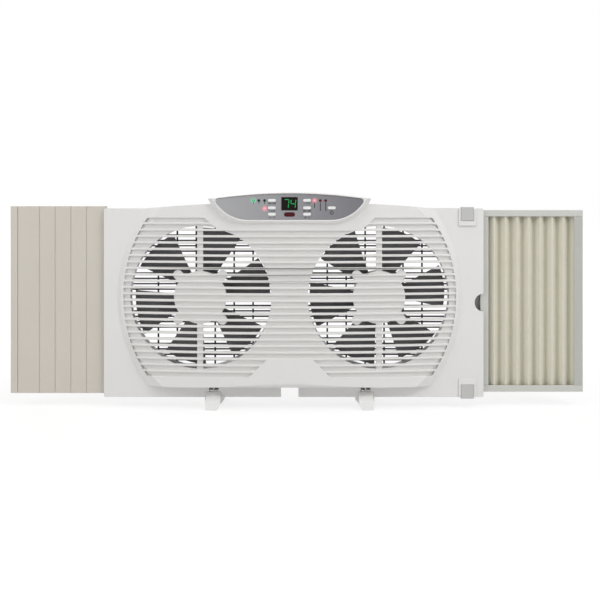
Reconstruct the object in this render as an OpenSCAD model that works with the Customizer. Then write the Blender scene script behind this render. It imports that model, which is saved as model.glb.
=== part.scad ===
/* [Fans] */
// Diameter swept by the blade tips
blade_d = 229; // [200:1:232]
// Gap between the blade tips and the duct wall
tip_gap = 3.5; // [2:0.5:8]
// Distance between the two fan axes
fan_pitch = 296; // [285:1:330]
// Number of blades on each impeller
blade_count = 6; // [4:1:7]
// Part of its share of the circle that a blade covers, seen from the front
blade_cover = 0.63; // [0.4:0.01:0.75]
// Axial depth of a blade at its tip
blade_depth = 24; // [14:1:28]
// Thickness of a blade
blade_t = 2; // [1.4:0.1:3]
// Outer radius of the impeller hub
hub_r = 41; // [36:0.5:43]

/* [Front housing] */
// From a duct to the side of the raised front
side_rim = 22; // [16:1:40]
// From the ducts to the top edge of the flange
top_rim = 29; // [26:0.5:40]
// From the ducts to the underside of the raised front
bottom_rim = 31; // [26:0.5:45]
// How far the flange hangs down below the raised front
sill_lip = 19.7; // [17:0.1:30]
// Width of the flange to the left of the raised front
left_wing = 23; // [18:0.5:40]
// Width of the flange to the right of the raised front
right_wing = 36.5; // [34:0.5:50]
// Thickness of the flange
flange_t = 3; // [2:0.5:5]
// How far the raised front stands out of the flange
bulge_rise = 28; // [24:1:40]
// Radius of the raised front's side arcs
bulge_r = 245; // [200:5:270]
// How steeply the raised front climbs from its side arcs, rise over run
side_slope = 0.72; // [0.6:0.02:1.5]
// Radius of the raised front from side to side
crown_r = 1740; // [1700:10:3000]
// Rounding of the raised front's lower edge
edge_r = 9; // [2:0.5:14]
// Width of the notch in the sill lip
sill_notch_w = 29; // [10:1:60]
// Radius of the finger notch beside the curtain
finger_r = 15; // [10:0.5:20]

/* [Grille] */
// Number of slot rows, an odd number
row_count = 25; // [21:2:25]
// Height from one slot row to the next
slot_pitch = 10.64; // [9.5:0.02:10.8]
// Height of a slot
slot_h = 6.9; // [4:0.1:7.5]
// Depth of the blind part of a slot
slot_depth = 3.6; // [1.6:0.1:4]
// Wall left behind the blind part of a slot
slot_floor = 1.4; // [1.2:0.1:2]
// Bevel along the front edges of the grille bars
bar_bevel = 0.8; // [0.3:0.1:1.2]
// Margin from the ends of the slots to the edge of the raised front
slot_margin = 10.5; // [8:0.5:30]
// Thickness of the grille bars in front of the fans
bar_depth = 7; // [6:0.5:9]
// Radius of the hub plate in front of each motor
hub_plate_r = 43.7; // [42:0.1:60]
// Radius from the fan axis to the motor screws
motor_screw_r = 52.5; // [50:0.5:60]
// Width of the upright strut in front of each fan
strut_w = 10; // [5:0.5:20]
// Length of the duct ring behind the flange
ring_len = 11; // [6:1:20]

/* [Controls] */
// How far the control panel rises above the flange
dome_rise = 24.5; // [18:0.5:30]
// Height of the control panel
fascia_h = 43; // [41:0.5:46]
// Half the width of the control panel at its widest
fascia_half_w = 131.5; // [115:0.5:140]
// Radius of the panel's lower corners
fascia_corner_r = 64; // [50:1:66]
// Radius of the panel's upper edge
fascia_crown_r = 863; // [700:1:1200]
// Rounding of the panel's two ends
tip_r = 5; // [2:0.5:8]
// Thickness of the fascia plate
fascia_t = 2; // [1.5:0.1:3]
// Width of the sloped bezel round the fascia
bezel_w = 9; // [5:0.5:12]
// How far the bezel stands in front of the raised front
bezel_rise = 6; // [4:0.5:9]
// Size of a push button, length and height
button_size = [12.9, 4.6];
// Sideways distance of the button columns from the middle
button_x = 28.8; // [24:0.1:31]
// Sideways distance of the power button from the middle
power_x = 69.2; // [66:0.1:75]
// Travel of a push button
button_travel = 0.8; // [0.4:0.1:1.2]
// Size of the display window
display_size = [26.6, 21.6];
// Size of the remote sensor's window
ir_size = [17.5, 7];
// Radius of an indicator lens
led_r = 2.2; // [1:0.1:2.5]

/* [Rear housing] */
// Depth of the rear housing behind the flange
rear_depth = 72; // [66:1:90]
// Wall of the rear housing
rear_wall = 2.5; // [1.8:0.1:4]
// How much wider the openings in the back are than the ducts
rear_flare = 20; // [10:1:20]
// Height from one rib of the rear grilles to the next
rib_pitch = 9.5; // [8:0.1:16]
// Width of a rib of the rear grilles
rib_w = 2.4; // [1.2:0.1:3]
// Distance between the upright ribs of the rear grilles
upright_pitch = 33.2; // [28:0.1:40]

/* [Curtain and side panel] */
// Width of the curtain that shows at full stretch
curtain_show = 168; // [150:0.5:190]
// How far the curtain frame slides in
curtain_travel = 120; // [60:5:120]
// Height of a curtain rail
rail_h = 10.8; // [9:0.1:12]
// Depth of the curtain frame
frame_depth = 15; // [13:0.5:18]
// Width of the curtain's end stile
stile_w = 15; // [10:0.5:20]
// Number of folds in the pleated sheet
fold_count = 15; // [9:1:21]
// Thickness of the pleated sheet
pleat_t = 1; // [0.6:0.1:1.4]
// Width of the side panel that shows
panel_show = 159; // [120:0.5:200]
// Width of the side panel's end cap
end_cap_w = 12; // [8:0.5:20]
// Width of a slat of the side panel
panel_slat = 26.4; // [18:0.2:40]
// Depth of the side panel
panel_depth = 16; // [12:0.5:18]

/* [Feet and clips] */
// Height of the soles below the sill lip
foot_drop = 18; // [12:0.5:30]
// Distance between the feet
foot_pitch = 254; // [220:1:262]
// Width of a foot
foot_w = 24; // [20:0.5:30]
// How far a foot reaches in front of the flange
foot_front = 20; // [12:1:30]
// How far a foot reaches behind the rear housing
foot_back = 5; // [0:1:40]
// Width of a clip
clip_w = 21; // [14:0.5:24]
// Height of a clip on the front of the flange
clip_h = 23; // [16:0.5:26]

/* [Hidden] */

// Gaps between pieces: seated, sliding, shaft in bush and bore on its shaft
seat_gap = 0.2;
slide_gap = 0.4;
shaft_gap = 0.05;
fit_gap = 0.02;
// Overshoot of a cutting shape past the face it cuts
past = 1;

wall = slot_depth + slot_floor;
duct_r = blade_d / 2 + tip_gap;
ring_t = 3;
rear_open_r = duct_r + rear_flare;
bulge_half_w = fan_pitch / 2 + duct_r + side_rim;
bulge_cx = bulge_half_w - bulge_r;
bulge_bottom = duct_r + bottom_rim;
flange_top = duct_r + top_rim;
flange_bottom = bulge_bottom + sill_lip;
flange_left = bulge_half_w + left_wing;
flange_right = bulge_half_w + right_wing;
flange_mid = (flange_top - flange_bottom) / 2;
corner_r = 3;

// The raised front's upper edge is an arc that starts level with the flange at its two ends
top_arc_r = 2600;
bulge_crown = flange_top + 11;
row_mid = (row_count - 1) / 2;

fascia_top = flange_top + dome_rise;
fascia_bottom = fascia_top - fascia_h;
fascia_cx = fascia_half_w - fascia_corner_r;
fascia_cz = fascia_bottom + fascia_corner_r;
lip_y = -bulge_rise - bezel_rise;
fascia_y = lip_y + 1.5;
fascia_back = fascia_y + fascia_t;
ledge = 3;
// Land and inner bevel of the bezel's lip
lip_w = 2.6;
lip_bevel = 1.2;
// How far the slots keep clear of the panel, and the bare space between the fans below
panel_field = 31;
bare_rows = 3;
bare_half_w = 37.5;

// The circle that rounds an end of the panel: it touches the arcs of the upper edge and the lower corner
tip_span = [fascia_cx, fascia_cz - fascia_top + fascia_crown_r];
tip_way = tip_span / norm(tip_span);
tip_along = (pow(fascia_crown_r - tip_r, 2) - pow(fascia_corner_r - tip_r, 2) + pow(norm(tip_span), 2))
    / (2 * norm(tip_span));
tip_side = sqrt(pow(fascia_crown_r - tip_r, 2) - pow(tip_along, 2));
tip_at = [
    tip_along * tip_way[0] + tip_side * tip_way[1],
    fascia_top - fascia_crown_r + tip_along * tip_way[1] - tip_side * tip_way[0]
];
tip_turn = (atan2(tip_at[1] - fascia_top + fascia_crown_r, tip_at[0])
    + atan2(tip_at[1] - fascia_cz, tip_at[0] - fascia_cx)) / 2;
// How much wider that circle is, so that it cuts the two arcs instead of grazing them
tip_over = 0.1;

// Heights of the three buttons of a column, from the panel's lower edge
button_rows = [32, 19.7, 9.2];
button_z = [for (h = button_rows) fascia_bottom + h];
display_z = fascia_bottom + 26.3;
ir_z = fascia_bottom + 8.7;
led_x = [-59.2, -50.2, -40.9, 41, 50.5, 59.4];
led_z = fascia_bottom + 31.6;
low_led = [-40.7, fascia_bottom + 18.4];
led_places = concat([for (x = led_x) [x, led_z]], [low_led]);
button_places = concat([for (s = [-1, 1], z = button_z) [s * button_x, z]], [[power_x, button_z[1]]]);
button_proud = 1.2;
board_y = fascia_back + 9;
board_t = 1.6;
board_w = 160;
board_h = 29.5;
board_z = fascia_bottom + 6;
board_top = board_z + board_h;
board_screw_x = board_w / 2 - 6;
board_screw_z = [board_z + 4, board_top - 4.5];
board_post_r = 3.5;
board_screw_r = 1.2;
board_screw_in = 9;
switch_h = 4;

rear_y = flange_t + rear_depth;
rear_half_w = bulge_half_w + 4;
rear_bottom = bulge_bottom + 0.6;
rear_corner_r = 26;
rear_chamfer = 7;
seat_lip = 2.5;
grille_depth = 6;
pocket_wall = 2.2;

fan_y = 18;
plate_back = -bulge_rise + pow(fan_pitch / 2, 2) / (2 * crown_r) + bar_depth;
motor_front = plate_back + 5.5;
motor_r = 34;
motor_back = 21;
bracket_t = 2;
shaft_r = 3;
bush_r = 7;
blade_phase = [15, 8];
rib_count = ceil(rear_open_r / rib_pitch);
upright_w = 1.2 * rib_w;
gland_x = 40;
gland_y = 32;
gland_r = 6.5;
cord_r = 3.6;
hub_front = fan_y - 15;
hub_back = fan_y + 16;
hub_wall = 2.6;
nut_len = 5;
shaft_back = hub_back + nut_len + 2;
screw_r = 1.5;
screw_head_r = 3.3;
screw_head_h = 2.2;
// How far the housing and motor screws bite, and the spare depth of their holes
housing_screw_in = 14;
motor_screw_in = 5;
pilot_spare = 2;

frame_y = flange_t + 3;
frame_back = frame_y + frame_depth;
pocket_back = frame_back + 0.5;
rail_top = flange_top - 2.9;
rail_bottom = -flange_bottom + 7.4;
rail_hidden = 34;
rail_in = flange_right - rail_hidden;
curtain_right = flange_right + curtain_show;
strip_x = flange_right - 4;
strip_w = 13.5;
strip_leg = 12;
rail_wall = 1.6;
stile_slot = 5;
rail_floor = 2.6;
rail_edge_r = 1;
// How far the pleated sheet reaches into the rails
sheet_in = 6;
pleat_depth = frame_depth - 2 * rail_wall - 2 * slide_gap;

panel_y = flange_t + 5;
panel_top = flange_top + 3.5;
panel_bottom = -flange_bottom + 4.9;
panel_left = -flange_left - panel_show;
panel_right = -flange_left + 0.5;
panel_skin = 2.5;
cap_gap = 0.8;
panel_in = panel_left + end_cap_w + cap_gap;
// The groove nearest the flange, and the grooves that follow with a wider slat left over at the cap
first_groove = 31.6;
groove_count = floor((panel_right - panel_in - first_groove) / panel_slat + 0.5);
cap_edge_r = 2;
cap_tongue_y = [panel_y + 5, panel_y + 11];
cap_tongue_end = 12;
tongue_len = 12;
groove_half_w = 1;
groove_depth = 1.3;
tongue_y = [panel_y + 2, panel_y + 12];
tongue_z = [panel_bottom + 8, panel_top - 10];
rib_z = [panel_bottom + (panel_top - panel_bottom) / 3, panel_bottom + (panel_top - panel_bottom) * 2 / 3];

foot_bottom = -flange_bottom - foot_drop;
foot_top = -rear_bottom - seat_gap;
hook_hole = 7;
hook_x = 4.4;
hook_z = -flange_bottom + 12.5;
clip_x = flange_right - 27.5;
clip_t = 2.1;
clip_proud = 0.6;
pad_t = 2.6;
pad_margin = 3.8;
clip_leg = 13;
clip_leg_t = 2;
clip_edge_r = 0.9;
// Room round a clip's plate in its pad
clip_room = 0.5;

front_y = lip_y;
back_y = rear_y + foot_back;
left_end = panel_left;
right_end = curtain_right;

// Moves the fan-centred frame so that the whole stands on its soles, centred over the origin
module place() translate([-(left_end + right_end) / 2, -(front_y + back_y) / 2, -foot_bottom]) children();

// Extrudes an outline drawn in X and Z from y0 back to y1
module along_y(y0, y1) translate([0, y1, 0]) rotate([90, 0, 0]) linear_extrude(y1 - y0) children();

// Extrudes an outline drawn in Y and Z from x0 to x1
module along_x(x0, x1) translate([x0, 0, 0]) rotate([90, 0, 90]) linear_extrude(x1 - x0) children();

module block(x0, x1, y0, y1, z0, z1) translate([x0, y0, z0]) cube([x1 - x0, y1 - y0, z1 - z0]);

module rod(r, y0, y1, n = 96) translate([0, y0, 0]) rotate([-90, 0, 0]) cylinder(r = r, h = y1 - y0, $fn = n);

module at_fans() for (s = [-1, 1]) translate([s * fan_pitch / 2, 0, 0]) children();

module slot_outline(w, h, r) {
    for (s = [-1, 1]) translate([s * (w / 2 - r), 0]) {
        for (t = [-1, 1]) translate([0, t * (h / 2 - r)]) circle(r = r, $fn = 32);
        translate([-r, -h / 2 + r]) square([2 * r, h - 2 * r]);
    }
    translate([-w / 2 + r, -h / 2]) square([w - 2 * r, h]);
}

module rounded_rect(x0, x1, z0, z1, r)
    translate([(x0 + x1) / 2, (z0 + z1) / 2]) slot_outline(x1 - x0, z1 - z0, r);

// ---- Front housing ----

module side_arcs(inset) for (s = [-1, 1])
    translate([s * bulge_cx, 0]) circle(r = bulge_r - inset, $fn = 360);

module bulge_outline(inset) intersection() {
    side_arcs(inset);
    translate([0, bulge_crown - top_arc_r]) circle(r = top_arc_r - inset, $fn = 1440);
    translate([-bulge_half_w, -bulge_bottom + inset]) square([2 * bulge_half_w, bulge_bottom + bulge_crown]);
}

// Section of the raised front, with its lower edge rounded
module bulge_section(inset, back) difference() {
    translate([-bulge_rise + inset, -bulge_bottom + inset])
        square([back + bulge_rise, bulge_bottom + bulge_crown]);
    difference() {
        translate([-bulge_rise, -bulge_bottom]) square([edge_r, edge_r]);
        translate([-bulge_rise + edge_r, -bulge_bottom + edge_r]) circle(r = edge_r - inset, $fn = 64);
    }
}

// Cones that turn the sides of the raised front into sloped shoulders
module side_shoulders(inset, back) {
    base_r = bulge_r - inset * sqrt(1 + side_slope * side_slope) / side_slope;
    r1 = base_r - bulge_rise / side_slope;
    r2 = base_r + back / side_slope;
    for (s = [-1, 1]) translate([s * bulge_cx, -bulge_rise, 0]) rotate([-90, 0, 0])
        cylinder(r1 = r1, r2 = r2, h = bulge_rise + back, $fn = 360);
}

module bulge_body(inset, back) intersection() {
    along_y(-bulge_rise, back) bulge_outline(inset);
    side_shoulders(inset, back);
    along_x(-bulge_half_w, bulge_half_w) bulge_section(inset, back);
    translate([0, crown_r - bulge_rise, -bulge_bottom - past])
        cylinder(r = crown_r - inset, h = bulge_bottom + bulge_crown + 2 * past, $fn = 1440);
}

module flange_outline() difference() {
    rounded_rect(-flange_left, flange_right, -flange_bottom, flange_top, corner_r);
    translate([-sill_notch_w / 2, -flange_bottom - past]) square([sill_notch_w, sill_lip + past]);
    translate([flange_right, flange_mid]) circle(r = finger_r, $fn = 96);
    for (s = [-1, 1], t = [-1, 1]) translate([s * foot_pitch / 2 + t * hook_x, hook_z])
        square([hook_hole, hook_hole], center = true);
}

// Outline of the control panel: an arc on top, two large corners below
module panel_outline(grow) intersection() {
    translate([0, fascia_top - fascia_crown_r]) circle(r = fascia_crown_r + grow, $fn = 1440);
    union() {
        for (s = [-1, 1]) translate([s * fascia_cx, fascia_cz])
            circle(r = fascia_corner_r + grow, $fn = 192);
        translate([-fascia_cx, fascia_bottom - grow]) square([2 * fascia_cx, fascia_h + 4 * grow + 10]);
    }
}

// What lies inside the rounding of the panel's right end
module panel_end(grow) translate(tip_at) {
    circle(r = tip_r + tip_over + grow, $fn = 64);
    inner_half();
}

module inner_half() rotate(tip_turn) translate([-3 * fascia_half_w, -2 * fascia_half_w])
    square([3 * fascia_half_w + tip_r / 2, 4 * fascia_half_w]);

// The control panel's outline with its two ends rounded
module rounded_panel(grow) intersection() {
    panel_outline(grow);
    panel_end(grow);
    mirror([1, 0]) panel_end(grow);
}

// Cone of the bevel inside the bezel's lip, down to a radius at its foot
module lip_cone(r, n) translate([0, lip_y - past, 0]) rotate([-90, 0, 0])
    cylinder(r1 = r + lip_bevel + past, r2 = r - seat_gap, h = lip_bevel + past + seat_gap, $fn = n);

module lip_end() translate([tip_at[0], 0, tip_at[1]]) {
    lip_cone(tip_r + tip_over + seat_gap, 64);
    along_y(lip_y - past, lip_y + lip_bevel + seat_gap) inner_half();
}

// Bevel inside the bezel's lip, round the panel's lower edge and its ends
module lip_bevels() {
    foot_y = lip_y + lip_bevel + seat_gap;
    front = lip_y - past;
    foot_z = fascia_bottom - seat_gap;
    intersection() {
        along_y(front, foot_y) translate([0, fascia_top - fascia_crown_r])
            circle(r = fascia_crown_r + seat_gap, $fn = 1440);
        union() {
            for (s = [-1, 1]) translate([s * fascia_cx, 0, fascia_cz])
                lip_cone(fascia_corner_r + seat_gap, 192);
            along_x(-fascia_cx, fascia_cx) polygon([
                [front, foot_z - lip_bevel - past], [foot_y, foot_z + seat_gap],
                [foot_y, fascia_top + 10], [front, fascia_top + 10]
            ]);
        }
        lip_end();
        mirror([1, 0, 0]) lip_end();
    }
}

// Bezel that slopes out from the lip to bezel_w wider at its foot
module bezel_body() {
    slope_y = bezel_rise + 4;
    intersection() {
        translate([0, lip_y, fascia_top - fascia_crown_r]) rotate([-90, 0, 0])
            cylinder(r1 = fascia_crown_r + 1.5, r2 = fascia_crown_r + 2.5, h = slope_y, $fn = 1440);
        union() {
            for (s = [-1, 1]) translate([s * fascia_cx, lip_y, fascia_cz]) rotate([-90, 0, 0])
                cylinder(r1 = fascia_corner_r + lip_w, r2 = fascia_corner_r + bezel_w, h = slope_y,
                    $fn = 192);
            along_x(-fascia_cx, fascia_cx) polygon([
                [lip_y, fascia_bottom - lip_w], [lip_y + slope_y, fascia_bottom - bezel_w],
                [lip_y + slope_y, fascia_top + 10], [lip_y, fascia_top + 10]
            ]);
        }
    }
    intersection() {
        along_y(lip_y + slope_y, flange_t) panel_outline(bezel_w);
        rod_crown();
    }
}

module rod_crown() translate([0, lip_y, fascia_top - fascia_crown_r]) rotate([-90, 0, 0])
    cylinder(r = fascia_crown_r + 2.5, h = flange_t - lip_y, $fn = 1440);

module hub_plate_outline() {
    circle(r = hub_plate_r, $fn = 128);
    for (a = [45:90:315]) rotate(a) {
        translate([motor_screw_r, 0]) circle(r = 8, $fn = 48);
        translate([0, -8]) square([motor_screw_r, 16]);
    }
}

// What stays closed in front of a fan: hub plate, upright strut and the level strut to the middle
module closed_outline(side) {
    hub_plate_outline();
    translate([-strut_w / 2, -duct_r - past]) square([strut_w, 2 * (duct_r + past)]);
    translate([side > 0 ? -duct_r - 2 * past : 0, -slot_h / 2 - past / 2])
        square([duct_r + 2 * past, slot_h + past]);
}

module slot_rows(y0, y1) for (k = [0:row_count - 1])
    block(-bulge_half_w, bulge_half_w, y0, y1,
        (row_mid - k) * slot_pitch - slot_h / 2, (row_mid - k) * slot_pitch + slot_h / 2);

module open_slots() intersection() {
    slot_rows(-bulge_rise - past, flange_t);
    for (s = [-1, 1]) translate([s * fan_pitch / 2, 0, 0]) along_y(-bulge_rise - past, flange_t)
        difference() {
            circle(r = duct_r, $fn = 192);
            closed_outline(s);
        }
}

// Where the slots are at least recesses: the whole field less the panel and the bare space below
module recess_outline() difference() {
    side_arcs(slot_margin);
    difference() {
        panel_outline(panel_field);
        translate([-bulge_half_w, -bulge_half_w])
            square([2 * bulge_half_w, bulge_half_w + (row_mid - 1.5) * slot_pitch]);
    }
    bare_top = -(row_mid - bare_rows + 0.5) * slot_pitch;
    bare_low = bare_top - bare_rows * slot_pitch;
    bare_low_w = bare_half_w + bare_top - bare_low;
    polygon([
        [-bare_half_w, bare_top], [bare_half_w, bare_top], [bare_low_w, bare_low], [-bare_low_w, bare_low]
    ]);
}

module recessed_slots() difference() {
    intersection() {
        slot_rows(-bulge_rise - past, 0);
        along_y(-bulge_rise - past, 0) recess_outline();
    }
    bulge_body(slot_depth, past);
}

// Bevels along the front edges of the bars, turned about the axis of the crowned front
module bar_bevels() intersection() {
    translate([0, crown_r - bulge_rise, 0]) rotate_extrude($fn = 1440) for (k = [0:row_count - 1])
        translate([0, (row_mid - k) * slot_pitch]) polygon([
            [crown_r - bar_bevel, -slot_h / 2], [crown_r + past, -slot_h / 2 - bar_bevel - past],
            [crown_r + past, slot_h / 2 + bar_bevel + past], [crown_r - bar_bevel, slot_h / 2]
        ]);
    along_y(-bulge_rise - past, 0) recess_outline();
}

module at_posts() for (p = post_places) translate([p[0], 0, p[1]]) children();

module at_board_screws() for (s = [-1, 1], z = board_screw_z) translate([s * board_screw_x, 0, z]) children();

module at_motor_screws() at_fans() for (a = [45:90:315])
    translate([motor_screw_r * cos(a), 0, motor_screw_r * sin(a)]) children();

// Screw posts between the two housings: X, Z and where the post starts
post_inset = 14;
post_r = 5;
post_split = 30;
post_foot = flange_t - 0.5;
post_deep = wall - bulge_rise - 0.3;
post_places = [
    [-rear_half_w + post_inset, -rear_bottom + post_inset, post_foot],
    [rear_half_w - post_inset, -rear_bottom + post_inset, post_foot],
    [-rear_half_w + post_inset, flange_top - post_inset - 4, post_foot],
    [rear_half_w - post_inset, rail_top - rail_h - post_r - 5, post_foot],
    [0, -rear_bottom + post_inset, post_deep], [0, duct_r - 22, post_deep]
];

module clip_pads() for (t = [0, 1]) {
    z_edge = t > 0 ? flange_top : -flange_bottom;
    z_in = t > 0 ? flange_top - clip_h - 6 : -flange_bottom + clip_h + 8.5;
    block(clip_x - clip_w / 2 - pad_margin, clip_x + clip_w / 2 + pad_margin, -pad_t, past / 2,
        min(z_edge, z_in), max(z_edge, z_in));
}

module clip_recess(t) {
    drop = clip_h - clip_t - seat_gap + clip_room;
    z_in = t > 0 ? flange_top - drop : -flange_bottom + drop;
    z_out = t > 0 ? flange_top + past : -flange_bottom - past;
    block(clip_x - clip_w / 2 - clip_room, clip_x + clip_w / 2 + clip_room, -pad_t - past,
        -pad_t + clip_t - clip_proud + seat_gap,
        min(z_in, z_out), max(z_in, z_out));
}

module front_moulding() {
    difference() {
        union() {
            along_y(0, flange_t) flange_outline();
            bulge_body(0, flange_t);
            bezel_body();
            clip_pads();
        }
        difference() {
            bulge_body(wall, flange_t + past);
            at_fans() rod(duct_r + ring_t, -bulge_rise, flange_t + 2 * past, 192);
            along_y(-bulge_rise, flange_t + 2 * past) panel_outline(bezel_w + 0.5);
        }
        intersection() {
            bulge_body(bar_depth, flange_t + past);
            at_fans() rod(duct_r, -bulge_rise, flange_t + past, 192);
        }
        // Hollow behind the fascia, open below into the raised front
        difference() {
            along_y(fascia_back, 0) panel_outline(-ledge);
            at_fans() rod(duct_r + ring_t, -bulge_rise, flange_t, 192);
        }
        along_y(lip_y - past, fascia_back) rounded_panel(seat_gap);
        lip_bevels();
        block(-fascia_cx, fascia_cx, -bulge_rise + wall, flange_t + past, duct_r - 6, fascia_bottom + 8);
        open_slots();
        recessed_slots();
        bar_bevels();
        clip_recess(0);
        clip_recess(1);
    }
    at_fans() difference() {
        rod(duct_r + ring_t, flange_t - 1, flange_t + ring_len, 192);
        rod(duct_r, flange_t - 1 - past, flange_t + ring_len + past, 192);
    }
    for (p = post_places) translate([p[0], 0, p[1]]) rod(post_r, p[2], post_split, 32);
    at_board_screws() rod(board_post_r, board_y + board_t, 0.5, 32);
    intersection() {
        at_motor_screws() rod(6, -bulge_rise, motor_front, 32);
        bulge_body(slot_depth, flange_t);
    }
}

module front_housing() color([0.86, 0.86, 0.84]) place() difference() {
    front_moulding();
    at_posts() rod(screw_r + shaft_gap, post_split - housing_screw_in - pilot_spare, post_split + past, 32);
    at_board_screws() rod(board_screw_r + shaft_gap, board_y, board_y + board_screw_in + pilot_spare, 32);
    at_motor_screws()
        rod(screw_r + shaft_gap, motor_front - motor_screw_in - pilot_spare / 2, motor_front + past, 32);
}

// ---- Rear housing ----

module rear_outline(inset) intersection() {
    rounded_rect(-rear_half_w + inset, rear_half_w - inset, -rear_bottom + inset,
        flange_top + rear_corner_r, rear_corner_r - inset);
    translate([-rear_half_w, -rear_bottom]) square([2 * rear_half_w, rear_bottom + flange_top - inset]);
}

// Section of the rear housing, chamfered along its back edges
module rear_section(inset) {
    y = rear_y - inset;
    z0 = -rear_bottom + inset;
    z1 = flange_top - inset;
    polygon([
        [flange_t - past, z0], [y - rear_chamfer, z0], [y, z0 + rear_chamfer], [y, z1 - rear_chamfer],
        [y - rear_chamfer, z1], [flange_t - past, z1]
    ]);
}

module rear_shell(inset, y0) intersection() {
    along_y(y0, rear_y - inset) rear_outline(inset);
    along_x(-rear_half_w, rear_half_w) rear_section(inset);
}

// Channel behind the flange's right wing that guides the curtain frame
module curtain_pocket() difference() {
    block(rear_half_w - rear_wall, flange_right - 2, flange_t, pocket_back + pocket_wall,
        rail_bottom - slide_gap - pocket_wall, rail_top + slide_gap + pocket_wall);
    block(rear_half_w - rear_wall - past, flange_right, flange_t - past, pocket_back,
        rail_bottom - slide_gap, rail_top + slide_gap);
}

// Channel behind the left wing that the side panel's tongue plugs into
module panel_pocket() difference() {
    block(-flange_left + 1, -rear_half_w + rear_wall, flange_t, tongue_y[1] + slide_gap + pocket_wall,
        tongue_z[0] - slide_gap - pocket_wall, tongue_z[1] + slide_gap + pocket_wall);
    block(-flange_left, -rear_half_w - 1, tongue_y[0] - slide_gap, tongue_y[1] + slide_gap,
        tongue_z[0] - slide_gap, tongue_z[1] + slide_gap);
}

module rear_housing() color([0.84, 0.84, 0.82]) place() difference() {
    union() {
        difference() {
            rear_shell(0, flange_t);
            rear_shell(rear_wall, flange_t - past);
            at_fans() rod(rear_open_r, rear_y - rear_wall - past, rear_y + past, 192);
        }
        at_fans() difference() {
            rod(rear_open_r + seat_lip, rear_y - grille_depth - 2, rear_y, 192);
            rod(rear_open_r, rear_y - grille_depth, rear_y + past, 192);
            rod(rear_open_r - 3, rear_y - grille_depth - 2 - past, rear_y, 192);
        }
        at_posts() rod(post_r, post_split + seat_gap, rear_y - 0.5, 32);
        curtain_pocket();
        panel_pocket();
    }
    at_posts() {
        rod(screw_r + 0.4, post_split - past, rear_y + past, 32);
        rod(screw_head_r + 0.5, post_split + 12, rear_y + past, 48);
    }
    // Way in for the top rail and, under the box, for the bottom rail
    block(rear_half_w - rear_wall - past, rear_half_w + past, flange_t - past, pocket_back,
        rail_top - rail_h - slide_gap, rail_top + slide_gap);
    block(rear_half_w - rear_wall - 2 * past, rear_half_w + past,
        flange_t - past, pocket_back + pocket_wall + past,
        rail_bottom - 2 * past - pocket_wall, -rear_bottom - seat_gap);
    // Room for the legs of the clips
    leg_room = clip_leg + 2;
    for (z = [[flange_top - leg_room, flange_top + past], [-flange_bottom - past, -flange_bottom + leg_room]])
        block(clip_x - clip_w / 2 - 1, clip_x + clip_w / 2 + 1,
            flange_t - past, frame_y - seat_gap, z[0], z[1]);
    translate([gland_x, gland_y, -rear_bottom - past])
        cylinder(r = gland_r + seat_gap, h = rear_wall + 2 * past, $fn = 48);
}

module rear_grille(s) translate([s * fan_pitch / 2, 0, 0]) {
    rim = rear_open_r - seat_gap;
    difference() {
        rod(rim, rear_y - grille_depth, rear_y, 192);
        rod(rim - 3.5, rear_y - grille_depth - past, rear_y + past, 192);
    }
    intersection() {
        rod(rim - 2, rear_y - grille_depth, rear_y, 192);
        union() {
            for (k = [-rib_count:rib_count]) block(-rim, rim, rear_y - 5, rear_y - 2,
                (k + 0.5) * rib_pitch - rib_w / 2, (k + 0.5) * rib_pitch + rib_w / 2);
            for (k = [-3:2]) translate([(k + 0.5) * upright_pitch, 0, 0])
                block(-upright_w / 2, upright_w / 2, rear_y - 3, rear_y - 0.8, -rim, rim);
        }
    }
}

module rear_grille_left() color([0.16, 0.16, 0.16]) place() rear_grille(-1);
module rear_grille_right() color([0.16, 0.16, 0.16]) place() rear_grille(1);

module cord_gland() color([0.3, 0.3, 0.3]) place() translate([gland_x, gland_y, -rear_bottom]) difference() {
    union() {
        translate([0, 0, -seat_gap - 3]) cylinder(r = gland_r + 2.5, h = 3, $fn = 48);
        translate([0, 0, -12]) cylinder(r1 = gland_r - 1, r2 = gland_r, h = 10, $fn = 48);
        translate([0, 0, -3]) cylinder(r = gland_r, h = rear_wall + 5, $fn = 48);
    }
    translate([0, 0, -12 - past]) cylinder(r = cord_r, h = 20, $fn = 48);
}

// ---- Controls ----

module button_outline(grow)
    slot_outline(button_size[0] + 2 * grow, button_size[1] + 2 * grow, button_size[1] / 2 + grow - 0.01);

module at_xz(p) translate([p[0], p[1]]) children();

module control_fascia() color([0.62, 0.62, 0.63]) place() along_y(fascia_y, fascia_back) difference() {
    rounded_panel(0);
    for (p = button_places) at_xz(p) button_outline(0.25);
    at_xz([0, display_z])
        square([display_size[0] + 2 * seat_gap, display_size[1] + 2 * seat_gap], center = true);
    at_xz([0, ir_z]) slot_outline(ir_size[0] + 2 * seat_gap, ir_size[1] + 2 * seat_gap, ir_size[1] / 2);
    for (p = led_places) at_xz(p) circle(r = led_r + 0.1, $fn = 32);
}

module display_window() color([0.05, 0.08, 0.05]) place()
    block(-display_size[0] / 2, display_size[0] / 2, fascia_y + 0.2, fascia_back,
        display_z - display_size[1] / 2, display_z + display_size[1] / 2);

module display_module() color([0.12, 0.12, 0.12]) place() {
    block(-display_size[0] / 2 - 1, display_size[0] / 2 + 1, fascia_back + seat_gap, board_y,
        display_z - display_size[1] / 2, display_z + display_size[1] / 2);
}

module sensor_window() color([0.25, 0.05, 0.07]) place() along_y(fascia_y + 0.2, fascia_back + 1)
    at_xz([0, ir_z]) slot_outline(ir_size[0], ir_size[1], ir_size[1] / 2 - 0.01);

module indicator_lenses() color([0.7, 0.15, 0.15]) place() for (p = led_places)
    translate([p[0], 0, p[1]]) rod(led_r, fascia_y - 0.3, board_y, 32);

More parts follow.
